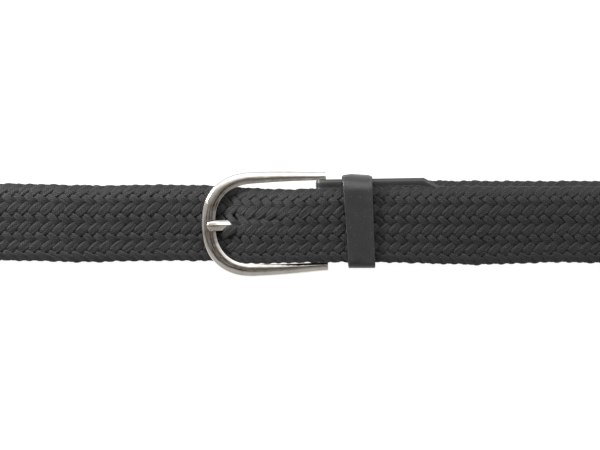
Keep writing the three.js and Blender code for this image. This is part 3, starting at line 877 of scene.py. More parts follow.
for first, count in CORD_GROUPS:
    line, parting = make_route_line()
    plait = line.modifiers.new("plait", "NODES")
    plait.node_group = PLAIT
    plait[SOCKETS["First Cord"]] = first
    plait[SOCKETS["Cords Here"]] = count
    plait[SOCKETS["Parting Stitch"]] = parting
    cords = baked(line, f"braid_cords_{first + 1:02d}_{first + count:02d}")
    finished(cords, "braided_cord", "braided_strap")
print("the tongue parts the cords at stitch", round(parting, 1))

# %% [markdown]
# The hard pieces and the leather are all made in one way: a maker's section, drawn once, is set
# across a path again and again, and a skin goes over the rings. Extruding and bevelling in modifiers
# would be shorter, but a section of one's own puts every rim, crease and groove where it belongs.
# Each corner of a section is a small arc with a point beside it on the flat, which keeps the flats
# flat to the light.

# %% Sections and skins
LARGEST_CUT = 0.3
BESIDE_THE_ARC = 1.6


def rounded(corners, radius, steps=3):
    """A closed outline whose corners are arcs, with one more point on the flat beside each arc."""
    points = []
    for i, corner in enumerate(corners):
        ends = []
        for other in (corners[i - 1], corners[(i + 1) % len(corners)]):
            way = other - corner
            ends.append((way.normalized(), min(radius, LARGEST_CUT * way.length)))
        (back, cut_back), (on, cut_on) = ends
        start, end = corner + back * cut_back, corner + on * cut_on
        points.append(corner + back * cut_back * BESIDE_THE_ARC)
        for step in range(steps + 1):
            t = step / steps
            points.append(start * (1 - t) ** 2 + corner * 2 * t * (1 - t) + end * t ** 2)
        points.append(corner + on * cut_on * BESIDE_THE_ARC)
    return points


def skin(name, rings, material, ring_closed=False):
    """A closed skin over rings of points that run anticlockwise, seen from the last ring's end."""
    size = len(rings[0])
    count = len(rings)
    faces = []
    for i in range(count if ring_closed else count - 1):
        for j in range(size):
            a, b = i * size + j, i * size + (j + 1) % size
            on = ((i + 1) % count - i) * size
            faces.append((a, b, b + on, a + on))
    if not ring_closed:
        faces += [tuple(reversed(range(size))), tuple(range((count - 1) * size, count * size))]
    return mesh_object(name, [point for ring in rings for point in ring], faces, material=material)


def shrunk(ring, share):
    """A ring drawn in towards its middle, for the small bevel round a cut end."""
    middle = sum(ring, Vector()) / len(ring)
    return [middle + (point - middle) * share for point in ring]


def blend_rows(rows, key, value, name):
    """A straight-line look-up in a table whose rows rise in the column named by key."""
    for a, b in zip(rows, rows[1:]):
        if value <= b[key] or b is rows[-1]:
            share = max(0.0, min(1.0, (value - a[key]) / (b[key] - a[key])))
            return a[name] + (b[name] - a[name]) * share


square = [Vector(corner) for corner in ((0, 0), (1, 0), (1, 1), (0, 1))]
print("a rounded corner has", len(rounded(square, radius=0.1)) // len(square), "points")

# %% [markdown]
# The frame is one casting, a bar of metal bent to a horseshoe. Its arms widen a little from the cross
# bar on, and its bend is a little squarer than a circle, which is a superellipse. Its plan is drawn
# as if the belt lay straight, and a matrix then turns the whole buckle as it lies in the photograph.

# %% The frame's outline
BUCKLE = Matrix.Translation((0, BUCKLE_Y, 0)) @ Matrix.Rotation(SKEW, 4, "Z")
BAR_SKEW = math.radians(1.3)
BAR_TURN = Matrix.Translation((0, BUCKLE_Y, 0)) @ Matrix.Rotation(BAR_SKEW, 4, "Z")
BAR = {"along": -0.6, "z": 9.2, "radius": 1.6, "length": 38.8}
FRAME = {"reach": 55.6, "half_width": 24.2, "half_width_at_bar": 22.9, "power": 2.3, "thickness": 3.4,
         "rise": 0.9, "far_overhang": 2.7, "near_overhang": 2.0, "arm_steps": 30, "bend_steps": 150}


def frame_side(overhang):
    """Stations of the outer edge from an arm's end to the middle of the bend, on the far side."""
    bend_start = FRAME["reach"] - FRAME["half_width"]
    stations = []
    for i in range(FRAME["arm_steps"]):
        along = -overhang + (bend_start + overhang) * i / FRAME["arm_steps"]
        widen = math.sin(math.pi / 2 * max(0.0, along) / bend_start)
        side = FRAME["half_width_at_bar"] + (FRAME["half_width"] - FRAME["half_width_at_bar"]) * widen
        stations.append((along, side))
    half = FRAME["bend_steps"] // 2
    for i in range(half + 1):
        angle = math.pi / 2 * i / half
        out, up = (max(0.0, value) ** (2 / FRAME["power"]) for value in (math.cos(angle), math.sin(angle)))
        side = 0.0 if i == half else FRAME["half_width"] * out
        stations.append((bend_start + FRAME["half_width"] * up, side))
    return stations


print("the frame is", 2 * FRAME["half_width"], "mm wide and reaches", FRAME["reach"], "mm from the bar")

# %% [markdown]
# The bar of the frame has a flat underside and an oval crown. Along the inside of the crown runs a
# narrow flat bevel, where the caster's mould parted and the seam was filed off. It gives the eye a
# thin bright line inside the bend. The bar grows wider from its ends towards the bend.

# %% The frame's section
# Shares of the width and of the thickness, from the inner wall to the outer one.
FRAME_UNDERSIDE = ((-0.5, -0.3), (-0.47, -0.42), (-0.38, -0.5), (0.38, -0.5), (0.47, -0.42), (0.5, -0.3))
# The crown is an ellipse, whose middle lies past the inner wall by this share of its half width.
CROWN_REACH = 0.6
CROWN_STEPS = 22
INNER_BEVEL = {"width": 0.92, "corner": 0.2, "slope": math.radians(12.5), "points": (0.1, 0.9, 1.0)}
# Half way round the corner, as shares of its size inwards and down.
CORNER_MIDDLE = (0.7, 0.3)
FRAME_WIDTHS = [dict(zip(("along", "width"), row)) for row in ((-2.8, 3.8), (27, 5.4), (55.6, 6.4))]
END_BEVEL = 0.25
END_SHARE = 0.88


def frame_section(width):
    """Points (across, up) of the bar's section: a flat underside and an oval crown.

    The crown's inner side ends in a flat bevel with a small corner, and the inner wall is upright."""
    section = [(across * width, up * FRAME["thickness"]) for across, up in FRAME_UNDERSIDE]
    inner = (INNER_BEVEL["width"] + INNER_BEVEL["corner"]) / width
    last = math.acos(inner * (1 + CROWN_REACH) - CROWN_REACH)
    for i in range(CROWN_STEPS + 1):
        angle = last * i / CROWN_STEPS
        across = (math.cos(angle) + CROWN_REACH) / (1 + CROWN_REACH) - 0.5
        section.append((across * width, math.sin(angle) / 2 * FRAME["thickness"]))
    start, top = section[-1]
    for share in INNER_BEVEL["points"]:
        inward = INNER_BEVEL["width"] * share
        section.append((start - inward, top - inward * math.tan(INNER_BEVEL["slope"])))
    across, up = section[-1]
    for inward, down in (CORNER_MIDDLE, (1.0, 1.0)):
        section.append((across - inward * INNER_BEVEL["corner"], up - down * INNER_BEVEL["corner"]))
    return section


def frame_rings():
    near = [(along, -side) for along, side in frame_side(FRAME["near_overhang"])]
    stations = near + frame_side(FRAME["far_overhang"])[-2::-1]
    rings = []
    for i, (along, side) in enumerate(stations):
        a, b = stations[max(0, i - 1)], stations[min(len(stations) - 1, i + 1)]
        out = Vector((0, 0, 1)).cross(Vector((a[0] - b[0], b[1] - a[1], 0))).normalized()
        width = blend_rows(FRAME_WIDTHS, "along", along, "width")
        height = BAR["z"] + FRAME["rise"] * along / FRAME["reach"]
        middle = Vector((-along, side, height)) - out * width / 2
        rings.append([middle + out * across + Vector((0, 0, up)) for across, up in frame_section(width)])
    ends = []
    for ring, inner in ((rings[0], rings[1]), (rings[-1], rings[-2])):
        way = (sum(inner, Vector()) - sum(ring, Vector())).normalized()
        ends.append([point + way * END_BEVEL for point in ring])
    return [shrunk(rings[0], END_SHARE), ends[0], *rings[1:-1], ends[1], shrunk(rings[-1], END_SHARE)]


print("the frame's section has", len(frame_section(FRAME_WIDTHS[-1]["width"])), "points")

# %% [markdown]
# The tongue rests in a shallow seat in the middle of the bend, so that it does not slide. A saddler
# would file it with a square file, and here a square block is cut out of the frame in the same way.

# %% The seat and the frame's skin
SEAT = {"floor": 10.45, "half_width": 2.6, "from": -53.4, "to": -44.0, "top": 14.0}
CREASE_ANGLE = math.radians(38)


def block(name, low, high, turn):
    """A closed box between two corners, turned by a matrix."""
    ring = [(low[0], low[1]), (high[0], low[1]), (high[0], high[1]), (low[0], high[1])]
    return skin(name, [[turn @ Vector((x, y, z)) for x, y in ring] for z in (low[2], high[2])], None)


def cut_out(piece, cutter, name):
    """The piece without the cutter's volume, as a plain mesh with its new rims kept sharp."""
    cut = piece.modifiers.new("cut", "BOOLEAN")
    cut.object = cutter
    cut.operation = "DIFFERENCE"
    cut.solver = "EXACT"
    made = baked(piece, name)
    bpy.data.objects.remove(cutter)
    made.data.set_sharp_from_angle(angle=CREASE_ANGLE)
    return made


casting = skin("buckle_casting", [[BUCKLE @ point for point in ring] for ring in frame_rings()], CHROME)
file_cut = block("square_file", (SEAT["from"], -SEAT["half_width"], SEAT["floor"]),
                 (SEAT["to"], SEAT["half_width"], SEAT["top"]), BUCKLE)
finished(cut_out(casting, file_cut, "buckle_frame_cast"), "chrome_plate", "buckle_frame")

# %% [markdown]
# The cross bar is a round rod that the frame's arms are cast round. It is a lathe's shape, so each of
# its rings is a circle, a little smaller at both ends where it runs into the arms.

# %% The cross bar
BAR_PROFILE = ((-0.5, 0.7), (-0.495, 0.85), (-0.47, 0.9), (-0.45, 1.0), (-0.2, 1.0), (0.0, 1.0), (0.2, 1.0),
               (0.45, 1.0), (0.47, 0.9), (0.495, 0.85), (0.5, 0.7))
BAR_SIDES = 32

bar_rings = []
for share, size in BAR_PROFILE:
    circle = []
    for i in range(BAR_SIDES):
        angle = math.tau * i / BAR_SIDES
        reach = BAR["radius"] * size
        circle.append(BAR_TURN @ Vector((-BAR["along"] + reach * math.sin(angle), share * BAR["length"],
                                       BAR["z"] + reach * math.cos(angle))))
    bar_rings.append(circle)
finished(skin("buckle_cross_bar", bar_rings, CHROME), "chrome_plate", "buckle_frame")

# %% [markdown]
# The tongue is half-round wire. Its end is curled round the bar while it is soft, and its tip is
# filed down until it lies in its seat. So it is one sweep of a half-round section: round the bar, out
# under the strap, and up through the cords to the bend.

# %% The tongue
# Each row is a place along the tongue, its height over the sheet, its width and its thickness.
TONGUE_SHANK = ((3.6, 11.0, 5, 1.9), (7, 10.0, 5, 2), (11, 9.45, 5, 2.1), (19, 9, 5.1, 2), (29, 8.9, 5.1, 2),
                (36, 9.3, 5.1, 2), (42, 10.3, 5.2, 2), (45.5, 11.2, 5.2, 2), (47.9, 11.62, 5.2, 1.95),
                (50.4, 11.42, 5, 1.65), (52.2, 11.16, 4.3, 1.25), (53.0, 11, 3.3, 0.9),
                (53.25, 10.92, 2.3, 0.6))
TONGUE_CORNERS = ((-0.42, -0.5), (0.42, -0.5), (0.5, -0.34), (0.46, 0.02), (0.28, 0.34), (0.05, 0.5),
                  (-0.05, 0.5), (-0.28, 0.34), (-0.46, 0.02), (-0.5, -0.34))
TONGUE_CORNER_RADIUS = 0.2
TONGUE_ENDS = (0.85, 0.6)
EYE_TURN = (235, 12)
EYE_WIRE = 1.4
EYE_WIDTH = 5
EYE_GAP = 0.35
CURVE_STEPS = 5


def curve_through(rows):
    """Rows of numbers with more rows between them, on a curve through all of them."""
    rows = [Vector(row) for row in rows]
    rows = [2 * rows[0] - rows[1], *rows, 2 * rows[-1] - rows[-2]]
    made = []
    for a, b, c, d in zip(rows, rows[1:], rows[2:], rows[3:]):
        for i in range(CURVE_STEPS):
            t = i / CURVE_STEPS
            made.append(0.5 * (2 * b + (c - a) * t + (2 * a - 5 * b + 4 * c - d) * t ** 2
                               + (3 * b - a - 3 * c + d) * t ** 3))
    return made + [rows[-2]]


def tongue_rings():
    eye = []
    turn, step = EYE_TURN
    middle = BAR["radius"] + EYE_GAP + EYE_WIRE / 2
    for degrees in range(-turn, 0, step):
        angle = math.radians(degrees)
        eye.append((BAR["along"] + middle * math.sin(angle), BAR["z"] + middle * math.cos(angle),
                    EYE_WIDTH, EYE_WIRE))
    rows = curve_through([*eye, *TONGUE_SHANK])
    rings = []
    for i, (along, z, width, thickness) in enumerate(rows):
        way = rows[min(i + 1, len(rows) - 1)] - rows[max(i - 1, 0)]
        up = Vector((way[1], 0, way[0])).normalized()
        corners = [Vector((-across * width, height * thickness, 0)) for across, height in TONGUE_CORNERS]
        section = rounded(corners, TONGUE_CORNER_RADIUS)
        rings.append([BUCKLE @ (Vector((-along, point.x, z)) + up * point.y) for point in section])
    root_share, tip_share = TONGUE_ENDS
    return [shrunk(rings[0], root_share), *rings, shrunk(rings[-1], tip_share)]


finished(skin("buckle_tongue", tongue_rings(), CHROME), "chrome_plate", "prong")

# %% [markdown]
# A leather piece is a sheet with a worked edge: the saddler bevels the rim, rubs it smooth and marks
# a groove for the stitches. A flat sheet with thickness would miss all three, and the lit rim is most
# of what the photograph shows of the tab. So a sheet is built as rings too. Each ring goes over the
# back, round one rim, over the face with its two grooves, and round the other rim.

# %% A sheet of leather
STITCH_INSET = 3.7
GROOVE = {"half_width": 0.55, "depth": 0.14}
# Each point is so far in from the rim, at this share of the thickness, and so much higher.
RIM = ((0.3, -0.5, 0), (0.08, -0.42, 0), (0.0, -0.32, 0), (0.0, -0.18, 0), (0.07, -0.1, 0), (0.3, 0.0, 0),
       (1.15, 0.43, 0), (1.32, 0.48, 0), (1.5, 0.5, 0), (STITCH_INSET - GROOVE["half_width"], 0.5, 0),
       (STITCH_INSET, 0.5, -GROOVE["depth"]), (STITCH_INSET + GROOVE["half_width"], 0.5, 0))
NARROWEST_FULL_RIM = 5.0
FLAT_STEPS = 8
BLUNT = 0.15
NOSE_ANGLES = (12, 25, 38, 50, 61, 71, 80, 87)
NARROWEST_HALF = 0.1


def sheet_section(near, far, thickness):
    """Points (across, up) round a sheet's section, from its near edge to its far edge and back."""
    half = (far - near) / 2
    scale = min(1.0, half / NARROWEST_FULL_RIM)
    far_rim = [(far - inset * scale, up * thickness + extra * scale) for inset, up, extra in RIM]
    near_rim = [(near + inset * scale, up * thickness + extra * scale) for inset, up, extra in RIM]
    flat = []
    for i in range(1, FLAT_STEPS):
        flat.append(far_rim[-1][0] + (near_rim[-1][0] - far_rim[-1][0]) * i / FLAT_STEPS)
    back = [(across, -thickness / 2) for across in reversed(flat)]
    return back + far_rim + [(across, thickness / 2) for across in flat] + near_rim[::-1]


def plan_half(x, plan):
    """Half the width, from above, of a piece whose sloping sides end in a blunt round nose."""
    half = plan["width"] / 2
    nose = plan["point"] + (plan["shoulder"] - plan["point"]) * BLUNT
    if x <= plan["shoulder"]:
        return half
    if x <= nose:
        return half * (1 - (1 - BLUNT) * (x - plan["shoulder"]) / (nose - plan["shoulder"]))
    return half * BLUNT * math.sqrt(max(0.0, 1 - 2 * (x - nose) / (plan["point"] - nose)))


def plan_stations(start, plan, spacing=3.0):
    """Distances along a pointed piece: even, and then closer and closer round its nose."""
    nose = plan["point"] + (plan["shoulder"] - plan["point"]) * BLUNT
    stations = [start]
    for end in (plan["shoulder"], nose):
        first = stations[-1]
        steps = max(1, round((end - first) / spacing))
        stations += [first + (end - first) * (i + 1) / steps for i in range(steps)]
    reach = (plan["point"] - nose) / 2
    return stations + [nose + reach * math.sin(math.radians(angle)) for angle in NOSE_ANGLES]


print("a sheet's section has", 2 * len(RIM) + 2 * (FLAT_STEPS - 1), "points")

# %% [markdown]
# The tab is one strip folded round the bar. It is pared thin at the fold, as saddlers do, so that it
# turns tightly, and both leaves end in a point on the strap. The fold follows the bar, which sits a
# little turned, while the rims follow the strap.

# %% The folded tab
TAB = {"y": 3.05, "width": 35.9, "shoulder": 46.9, "point": 80}
TAB_SLOPE = 0.017
TAB_FOLD = ((-1.95, 9.2, 1.05), (-1.25, 10.81, 1.05), (0.4, 11.48, 1.1), (3.5, 11.86, 1.25), (8, 12, 1.4))
TAB_FLAT_FROM = 8.0
# The fold follows the turned bar, and the shear fades away along the tab.
SHEAR = {"middle": 1.85, "until": 30.0}
SLOT = {"width": 6.0, "start": -8.0, "end": 4.5, "top": 20.0, "arc_steps": 12}


def tab_rows():
    """The sheet's middle as (x, z, thickness), from the lower point round the fold to the upper."""
    upper = curve_through(TAB_FOLD)
    upper += [Vector((x, TAB_FOLD[-1][1], TAB_FOLD[-1][2])) for x in plan_stations(TAB_FLAT_FROM, TAB)[1:]]
    lower = [Vector((x, 2 * BAR["z"] - z, thickness)) for x, z, thickness in upper]
    return lower[:0:-1] + upper


def tab_rings():
    rows = tab_rows()
    rings = []
    for i, (x, z, thickness) in enumerate(rows):
        way = rows[min(i + 1, len(rows) - 1)] - rows[max(i - 1, 0)]
        out = Vector((-way[1], 0, way[0])).normalized()
        half = max(NARROWEST_HALF, plan_half(x, TAB))
        shear = math.tan(BAR_SKEW) * max(0.0, min(1.0, 1 - x / SHEAR["until"]))
        rings.append([Vector((x - shear * (across - SHEAR["middle"]), across + TAB_SLOPE * x, z)) + out * up
                      for across, up in sheet_section(TAB["y"] - half, TAB["y"] + half, thickness)])
    return rings


def slot_cutter():
    """A block with a round end, as wide as the slot for the tongue."""
    half = SLOT["width"] / 2
    outline = [(SLOT["start"], half), (SLOT["start"], -half)]
    for i in range(SLOT["arc_steps"] + 1):
        angle = math.pi * (i / SLOT["arc_steps"] - 0.5)
        outline.append((SLOT["end"] - half + half * math.cos(angle), half * math.sin(angle)))
    rings = [[BUCKLE @ Vector((x, y, z)) for x, y in outline] for z in (0, SLOT["top"])]
    return skin("slot_cutter", rings, None)


folded = skin("folded_tab", tab_rings(), LEATHER)
finished(cut_out(folded, slot_cutter(), "leather_tab_folded"), "black_leather", "leather_tab")

# %% [markdown]
# The keeper is a strip bent round both straps and butted underneath. It was wet when it was bent, so
# it keeps crisp corners below and a rounded shoulder above, and a hot iron creased a line along both
# of its rims. Wear has pressed its far corners and left small lumps on its rims. It is a sweep of
# its section round the outline of what it holds, and that outline is the one that a strip takes when
# it is pulled tight round a few round things.

# %% The keeper's path
# Each round that the strip touches has a place across, a height and a radius.
HELD_ROUNDS = ((-15.0, 6.6, 1.2), (20.8, 6.6, 1.2), (15.6, 10.8, 6.2), (-17.1, 15.8, 1.2),
               (-17.1, 13.4, 1.2))
BUTT_GAP = 0.3
BUTT_Y = 1.0
FACES_DOWN = -0.9


def keeper_path(spacing=1.5, turns=72):
    """Points on the inner face of the keeper with their outward directions, from butt to butt."""
    path = []
    for turn in range(turns):
        angle = math.tau * turn / turns
        out = Vector((math.cos(angle), math.sin(angle)))
        # A strip pulled tight touches the round that reaches farthest in each direction.
        y, z, radius = max(HELD_ROUNDS, key=lambda held: out.dot(Vector(held[:2])) + held[2])
        spot = Vector((y, z)) + out * radius
        if path:
            last_spot, last_out = path[-1]
            steps = max(1, round((spot - last_spot).length / spacing))
            path += [(last_spot.lerp(spot, i / steps), last_out.lerp(out, i / steps))
                     for i in range(1, steps)]
        path.append((spot, out))
    # The path starts at the butt, in the middle of the underside.
    start = next(i for i, (spot, out) in enumerate(path) if out.y < FACES_DOWN and spot.x > BUTT_Y)
    path = path[start:] + path[:start]
    first, last = (Vector((BUTT_Y + side * BUTT_GAP / 2, path[0][0].y)) for side in (1, -1))
    return [(first, path[0][1]), *path, (last, path[0][1])]


KEEPER_PATH = keeper_path()
strip_length = sum((b[0] - a[0]).length for a, b in zip(KEEPER_PATH, KEEPER_PATH[1:]))
print("the keeper's strip is", round(strip_length), "mm long")

# %% [markdown]
# The strip lies a little aslant on the strap and is a little wider on its far side. The path's first
# coordinate is the place across the strap and its second the height, so the section's points, which
# are a distance along the strap and a height over the inner face, are set across it.

# %% The keeper
KEEPER = {"x": 17.2, "y": 2, "width": 13.0, "widen": 0.035, "wall": 1.5, "lean": 0.054}
# Each point of the rim is so far in from the edge and so high over the inner face.
KEEPER_RIM = ((0.2, 0.0), (0.0, 0.2), (0.0, 1.05), (0.1, 1.3), (0.35, 1.47), (0.7, 1.5), (1.2, 1.5),
              (1.42, 1.47), (1.6, 1.42), (1.78, 1.47), (2.0, 1.5), (2.6, 1.5))
RIM_WIDTH = KEEPER_RIM[-1][0]
KEEPER_FLAT_STEPS = 6
FAR_END = {"power": 6, "narrower": 0.35, "nudge": 1.3, "slope": -0.065, "slope_from": 14, "slope_over": 6}
FAR_CORNERS = {"pressed": 0.5, "reach": 2.6, "power": 1.5, "drawn_in": 1.2}
RIM_LUMPS = {"from": 16.0, "over": 3.0, "height": 0.3, "pace": 2.3}


def keeper_rim(half, at_far_end, lump):
    """Points (along, up) of one rim, with its lump and, at the far end, its pressed corner."""
    rim = []
    for inset, up in KEEPER_RIM:
        pressed = max(0.0, 1 - inset / FAR_CORNERS["reach"]) ** FAR_CORNERS["power"]
        pressed *= FAR_CORNERS["pressed"] * at_far_end
        lumpy_up = up + lump * max(0.0, 1 - inset / RIM_WIDTH)
        rim.append((half - inset - FAR_CORNERS["drawn_in"] * pressed, lumpy_up * (1 - pressed)))
    return rim


def keeper_rings():
    rings = []
    for spot, out in KEEPER_PATH:
        at_far_end = max(0.0, out.x) ** FAR_END["power"]
        half = KEEPER["width"] / 2 + KEEPER["widen"] * (spot.x - KEEPER["y"]) / 2
        half -= FAR_END["narrower"] * at_far_end
        worn = max(0.0, min(1.0, (spot.x - RIM_LUMPS["from"]) / RIM_LUMPS["over"]))
        lump = RIM_LUMPS["height"] * worn * (0.5 + 0.5 * math.sin(RIM_LUMPS["pace"] * (spot.x - spot.y)))
        rim = keeper_rim(half, at_far_end, lump)
        flat = [(half - RIM_WIDTH) * (1 - 2 * i / KEEPER_FLAT_STEPS) for i in range(1, KEEPER_FLAT_STEPS)]
        section = rim + [(x, KEEPER["wall"]) for x in flat] + [(-x, up) for x, up in rim[::-1]]
        section += [(-x, 0) for x in flat]
        far = max(0.0, min(1.0, (spot.x - FAR_END["slope_from"]) / FAR_END["slope_over"]))
        place_x = KEEPER["x"] - KEEPER["lean"] * (spot.x - KEEPER["y"]) + FAR_END["nudge"] * at_far_end
        rings.append([Vector((place_x + x,
                              spot.x + out.x * up + FAR_END["slope"] * far * x,
                              spot.y + out.y * up)) for x, up in section])
    return rings


finished(skin("leather_keeper_loop", keeper_rings(), LEATHER), "black_leather", "keeper_loop")

# %% [markdown]
# Cut cords would come undone, so the free end is held between two pointed leaves of leather, sewn
# through the cords. Past the cords the leaves come together.

# %% The pointed tip
TIP = {"y": -0.1, "width": 35.6, "shoulder": 172, "point": 190}
LEAF = 1.4
LEAF_FROM_MIDDLE = 2.8
LEAVES_MEET = {"x": 184, "from_middle": 1.0}
HALVINGS = 30
NUDGE = 0.02
# Just short of the last row, where a row still follows.
LAST_STATION = len(ROUTE) - 1.001


def tip_place(x):
    """The strap's middle and its upright at a distance along the free end."""
    first, last = float(TIP_START), float(len(ROUTE) - 1)
    for _ in range(HALVINGS):
        station = (first + last) / 2
        first, last = (station, last) if on_route(station)[0].x < x else (first, station)
    slope = on_route(min(last + NUDGE, LAST_STATION))[0] - on_route(first - NUDGE)[0]
    return on_route(station)[0], Vector((-slope.z, 0, slope.x)).normalized()


def tip_from_middle(x):
    """How far a leaf's middle lies from the strap's."""
    share = max(0.0, min(1.0, (x - TIP["shoulder"]) / (LEAVES_MEET["x"] - TIP["shoulder"])))
    share = share * share * (3 - 2 * share)
    return LEAF_FROM_MIDDLE + (LEAVES_MEET["from_middle"] - LEAF_FROM_MIDDLE) * share


def tip_rings(side):
    rings = []
    for x in plan_stations(ROUTE[TIP_START]["x"], TIP)[::side]:
        middle, up = tip_place(x)
        half = max(NARROWEST_HALF, plan_half(x, TIP))
        rings.append([Vector((middle.x, across, middle.z)) + up * side * (tip_from_middle(x) + rise)
                      for across, rise in sheet_section(TIP["y"] - half, TIP["y"] + half, LEAF)])
    return rings


for side, name in ((1, "leather_tip_upper_leaf"), (-1, "leather_tip_lower_leaf")):
    finished(skin(name, tip_rings(side), LEATHER), "black_leather", "leather_tip")

# %% [markdown]
# The leaves are sewn nearly four millimetres inside their rims, about three stitches to a
# centimetre. A stitch is one thing many times over along a path, so it is a job for Geometry Nodes:
# the tree walks the line in even steps and sets a small spindle of thread on each.

# %% The row of stitches as a tree of nodes
STITCH_PITCH = 3.2
STITCH_LENGTH = 2.5
THREAD_WIDTH = 0.75
STITCH_SIZES = {"Pitch": STITCH_PITCH * MM, "Stitch Length": STITCH_LENGTH * MM,
                "Thread Width": THREAD_WIDTH * MM}


def stitch_tree(material):
    tree, given = new_tree("row_of_stitches", {}, STITCH_SIZES)
    line = add(tree, "GeometryNodeMeshToCurve", {"Mesh": given["Geometry"]})
    places = add(tree, "GeometryNodeCurveToPoints", {"Curve": line, "Length": given["Pitch"]},
                 mode="LENGTH")
    # A ball one unit across becomes a spindle when it is scaled to the thread and the stitch.
    spindle = add(tree, "GeometryNodeMeshUVSphere", {"Segments": 8, "Rings": 7, "Radius": 0.5})
    size = add(tree, "ShaderNodeCombineXYZ", {"X": given["Thread Width"], "Y": given["Thread Width"],
                                              "Z": given["Stitch Length"]})
    spindle = add(tree, "GeometryNodeTransform", {"Geometry": spindle.outputs["Mesh"], "Scale": size})
    stitches = add(tree, "GeometryNodeInstanceOnPoints",
                   {"Points": places.outputs["Points"], "Instance": spindle,
                    "Rotation": places.outputs["Rotation"]})
    stitches = add(tree, "GeometryNodeRealizeInstances", {"Geometry": stitches})
    stitches = add(tree, "GeometryNodeSetShadeSmooth", {"Geometry": stitches})
    stitches = add(tree, "GeometryNodeSetMaterial", {"Geometry": stitches, "Material": material})
    add(tree, "NodeGroupOutput", [stitches])
    return tree


STITCHES = stitch_tree(THREAD)
print("the stitches' tree has", len(STITCHES.nodes), "nodes")

# %% [markdown]
# Every row of stitches is a chain of points on the face of a leaf: down one rim, across the blunt
# point and back along the other rim.

# %% The stitches
CHAIN_SPACING = 1.5
NARROWEST_ROW = 1.5
TAB_SEWN_FROM = 9


def stitch_line(start, plan, place):
    """Points on a leaf, the same way in from its outline; place turns (x, y) into a point."""
    slope = math.hypot(1, plan["width"] / 2 / (plan["point"] - plan["shoulder"]))
    rim = []
    for x in plan_stations(start, plan, CHAIN_SPACING):
        sloping = max(0.0, min(1.0, (x - plan["shoulder"]) / STITCH_INSET))
        half = plan_half(x, plan) - STITCH_INSET * (1 + (slope - 1) * sloping)
        if half > NARROWEST_ROW:
            rim.append((x, half))
    far = [place(x, plan["y"] + half) for x, half in rim]
    near = [place(x, plan["y"] - half) for x, half in rim]
    return far + near[::-1]


def leaf_of_tab(side):
    level = BAR["z"] + side * (TAB_FOLD[-1][1] - BAR["z"] + TAB_FOLD[-1][2] / 2 - GROOVE["depth"] / 2)
    return lambda x, y: Vector((x, y + TAB_SLOPE * x, level))


def leaf_of_tip(side):
    def place(x, y):
        middle, up = tip_place(x)
        out = tip_from_middle(x) + LEAF / 2 - GROOVE["depth"] / 2
        return Vector((middle.x, y, middle.z)) + up * side * out
    return place


TIP_SEWN_FROM = ROUTE[TIP_START]["x"] + STITCH_INSET
ROWS_OF_STITCHES = {
    "stitches_tab_upper": stitch_line(TAB_SEWN_FROM, TAB, leaf_of_tab(1)),
    "stitches_tab_lower": stitch_line(TAB_SEWN_FROM, TAB, leaf_of_tab(-1)),
    "stitches_tip_upper": stitch_line(TIP_SEWN_FROM, TIP, leaf_of_tip(1)),
    "stitches_tip_lower": stitch_line(TIP_SEWN_FROM, TIP, leaf_of_tip(-1)),
}
for name, points in ROWS_OF_STITCHES.items():
    chain = mesh_object(name + "_line", points, edges=[(i, i + 1) for i in range(len(points) - 1)])
    chain.modifiers.new("stitches", "NODES").node_group = STITCHES
    finished(baked(chain, name), "braided_cord", "leather_tab" if "tab" in name else "leather_tip")

# %% [markdown]
# The photograph is a high-key product shot: the belt lies on a white sheet that is lit until no
# shadow is left on it, and the light comes mainly from the far side. So the sheet gives a little
# light of its own, which fills the shadows beside the belt as a light table does.

# %% The floor
FLOOR_HALF = 4000

white_sheet, _, _ = finish("matt_white_paper", Base_Color=linear("#8c8c8b"), Roughness=0.9,
                           Specular_IOR_Level=0.1, Emission_Color=linear("#ffffff"), Emission_Strength=0.93)
corners = [(-FLOOR_HALF, -FLOOR_HALF, 0), (FLOOR_HALF, -FLOOR_HALF, 0), (FLOOR_HALF, FLOOR_HALF, 0),
           (-FLOOR_HALF, FLOOR_HALF, 0)]
floor = mesh_object("paper_floor", corners, faces=[(0, 1, 2, 3)], material=white_sheet)
print(floor.name, "is", 2 * FLOOR_HALF, "mm wide")

# %% [markdown]
# Chrome shows the room, so the room is drawn with care. A world in Blender is a colour for every
# direction, and this one works it out from the direction's parts. A picture of a real room would be
# quicker, but it could not be fitted to the bands on the metal. The far side is white, with bright
# windows above a dimmer wall, and the near side is dimmer and warmer. Soft level streaks run round
# the walls, as shelves and blinds would. The slopes of the buckle mirror these bright sides.

# %% The walls of the room
WINDOWS_WAY = (0.2, 0.98, 0.0)
WINDOWS_FADE = {"from": 0.15, "to": 0.58}
FAR_WALL = 0.95
FAR_WINDOWS = 2.5
WINDOW_SILL = {"from": 0.25, "to": 0.6}
NEAR_LIGHT = 0.76
STREAKS = {"stretch": (1.5, 1.5, 9.0), "from": 0.35, "to": 0.65, "darkest": 0.86, "brightest": 1.14}

world = bpy.data.worlds.new("studio_room")
bpy.context.scene.world = world
world.use_nodes = True
room = world.node_tree
direction = add(room, "ShaderNodeTexCoord").outputs["Generated"]
_, _, up_way = add(room, "ShaderNodeSeparateXYZ", [direction]).outputs

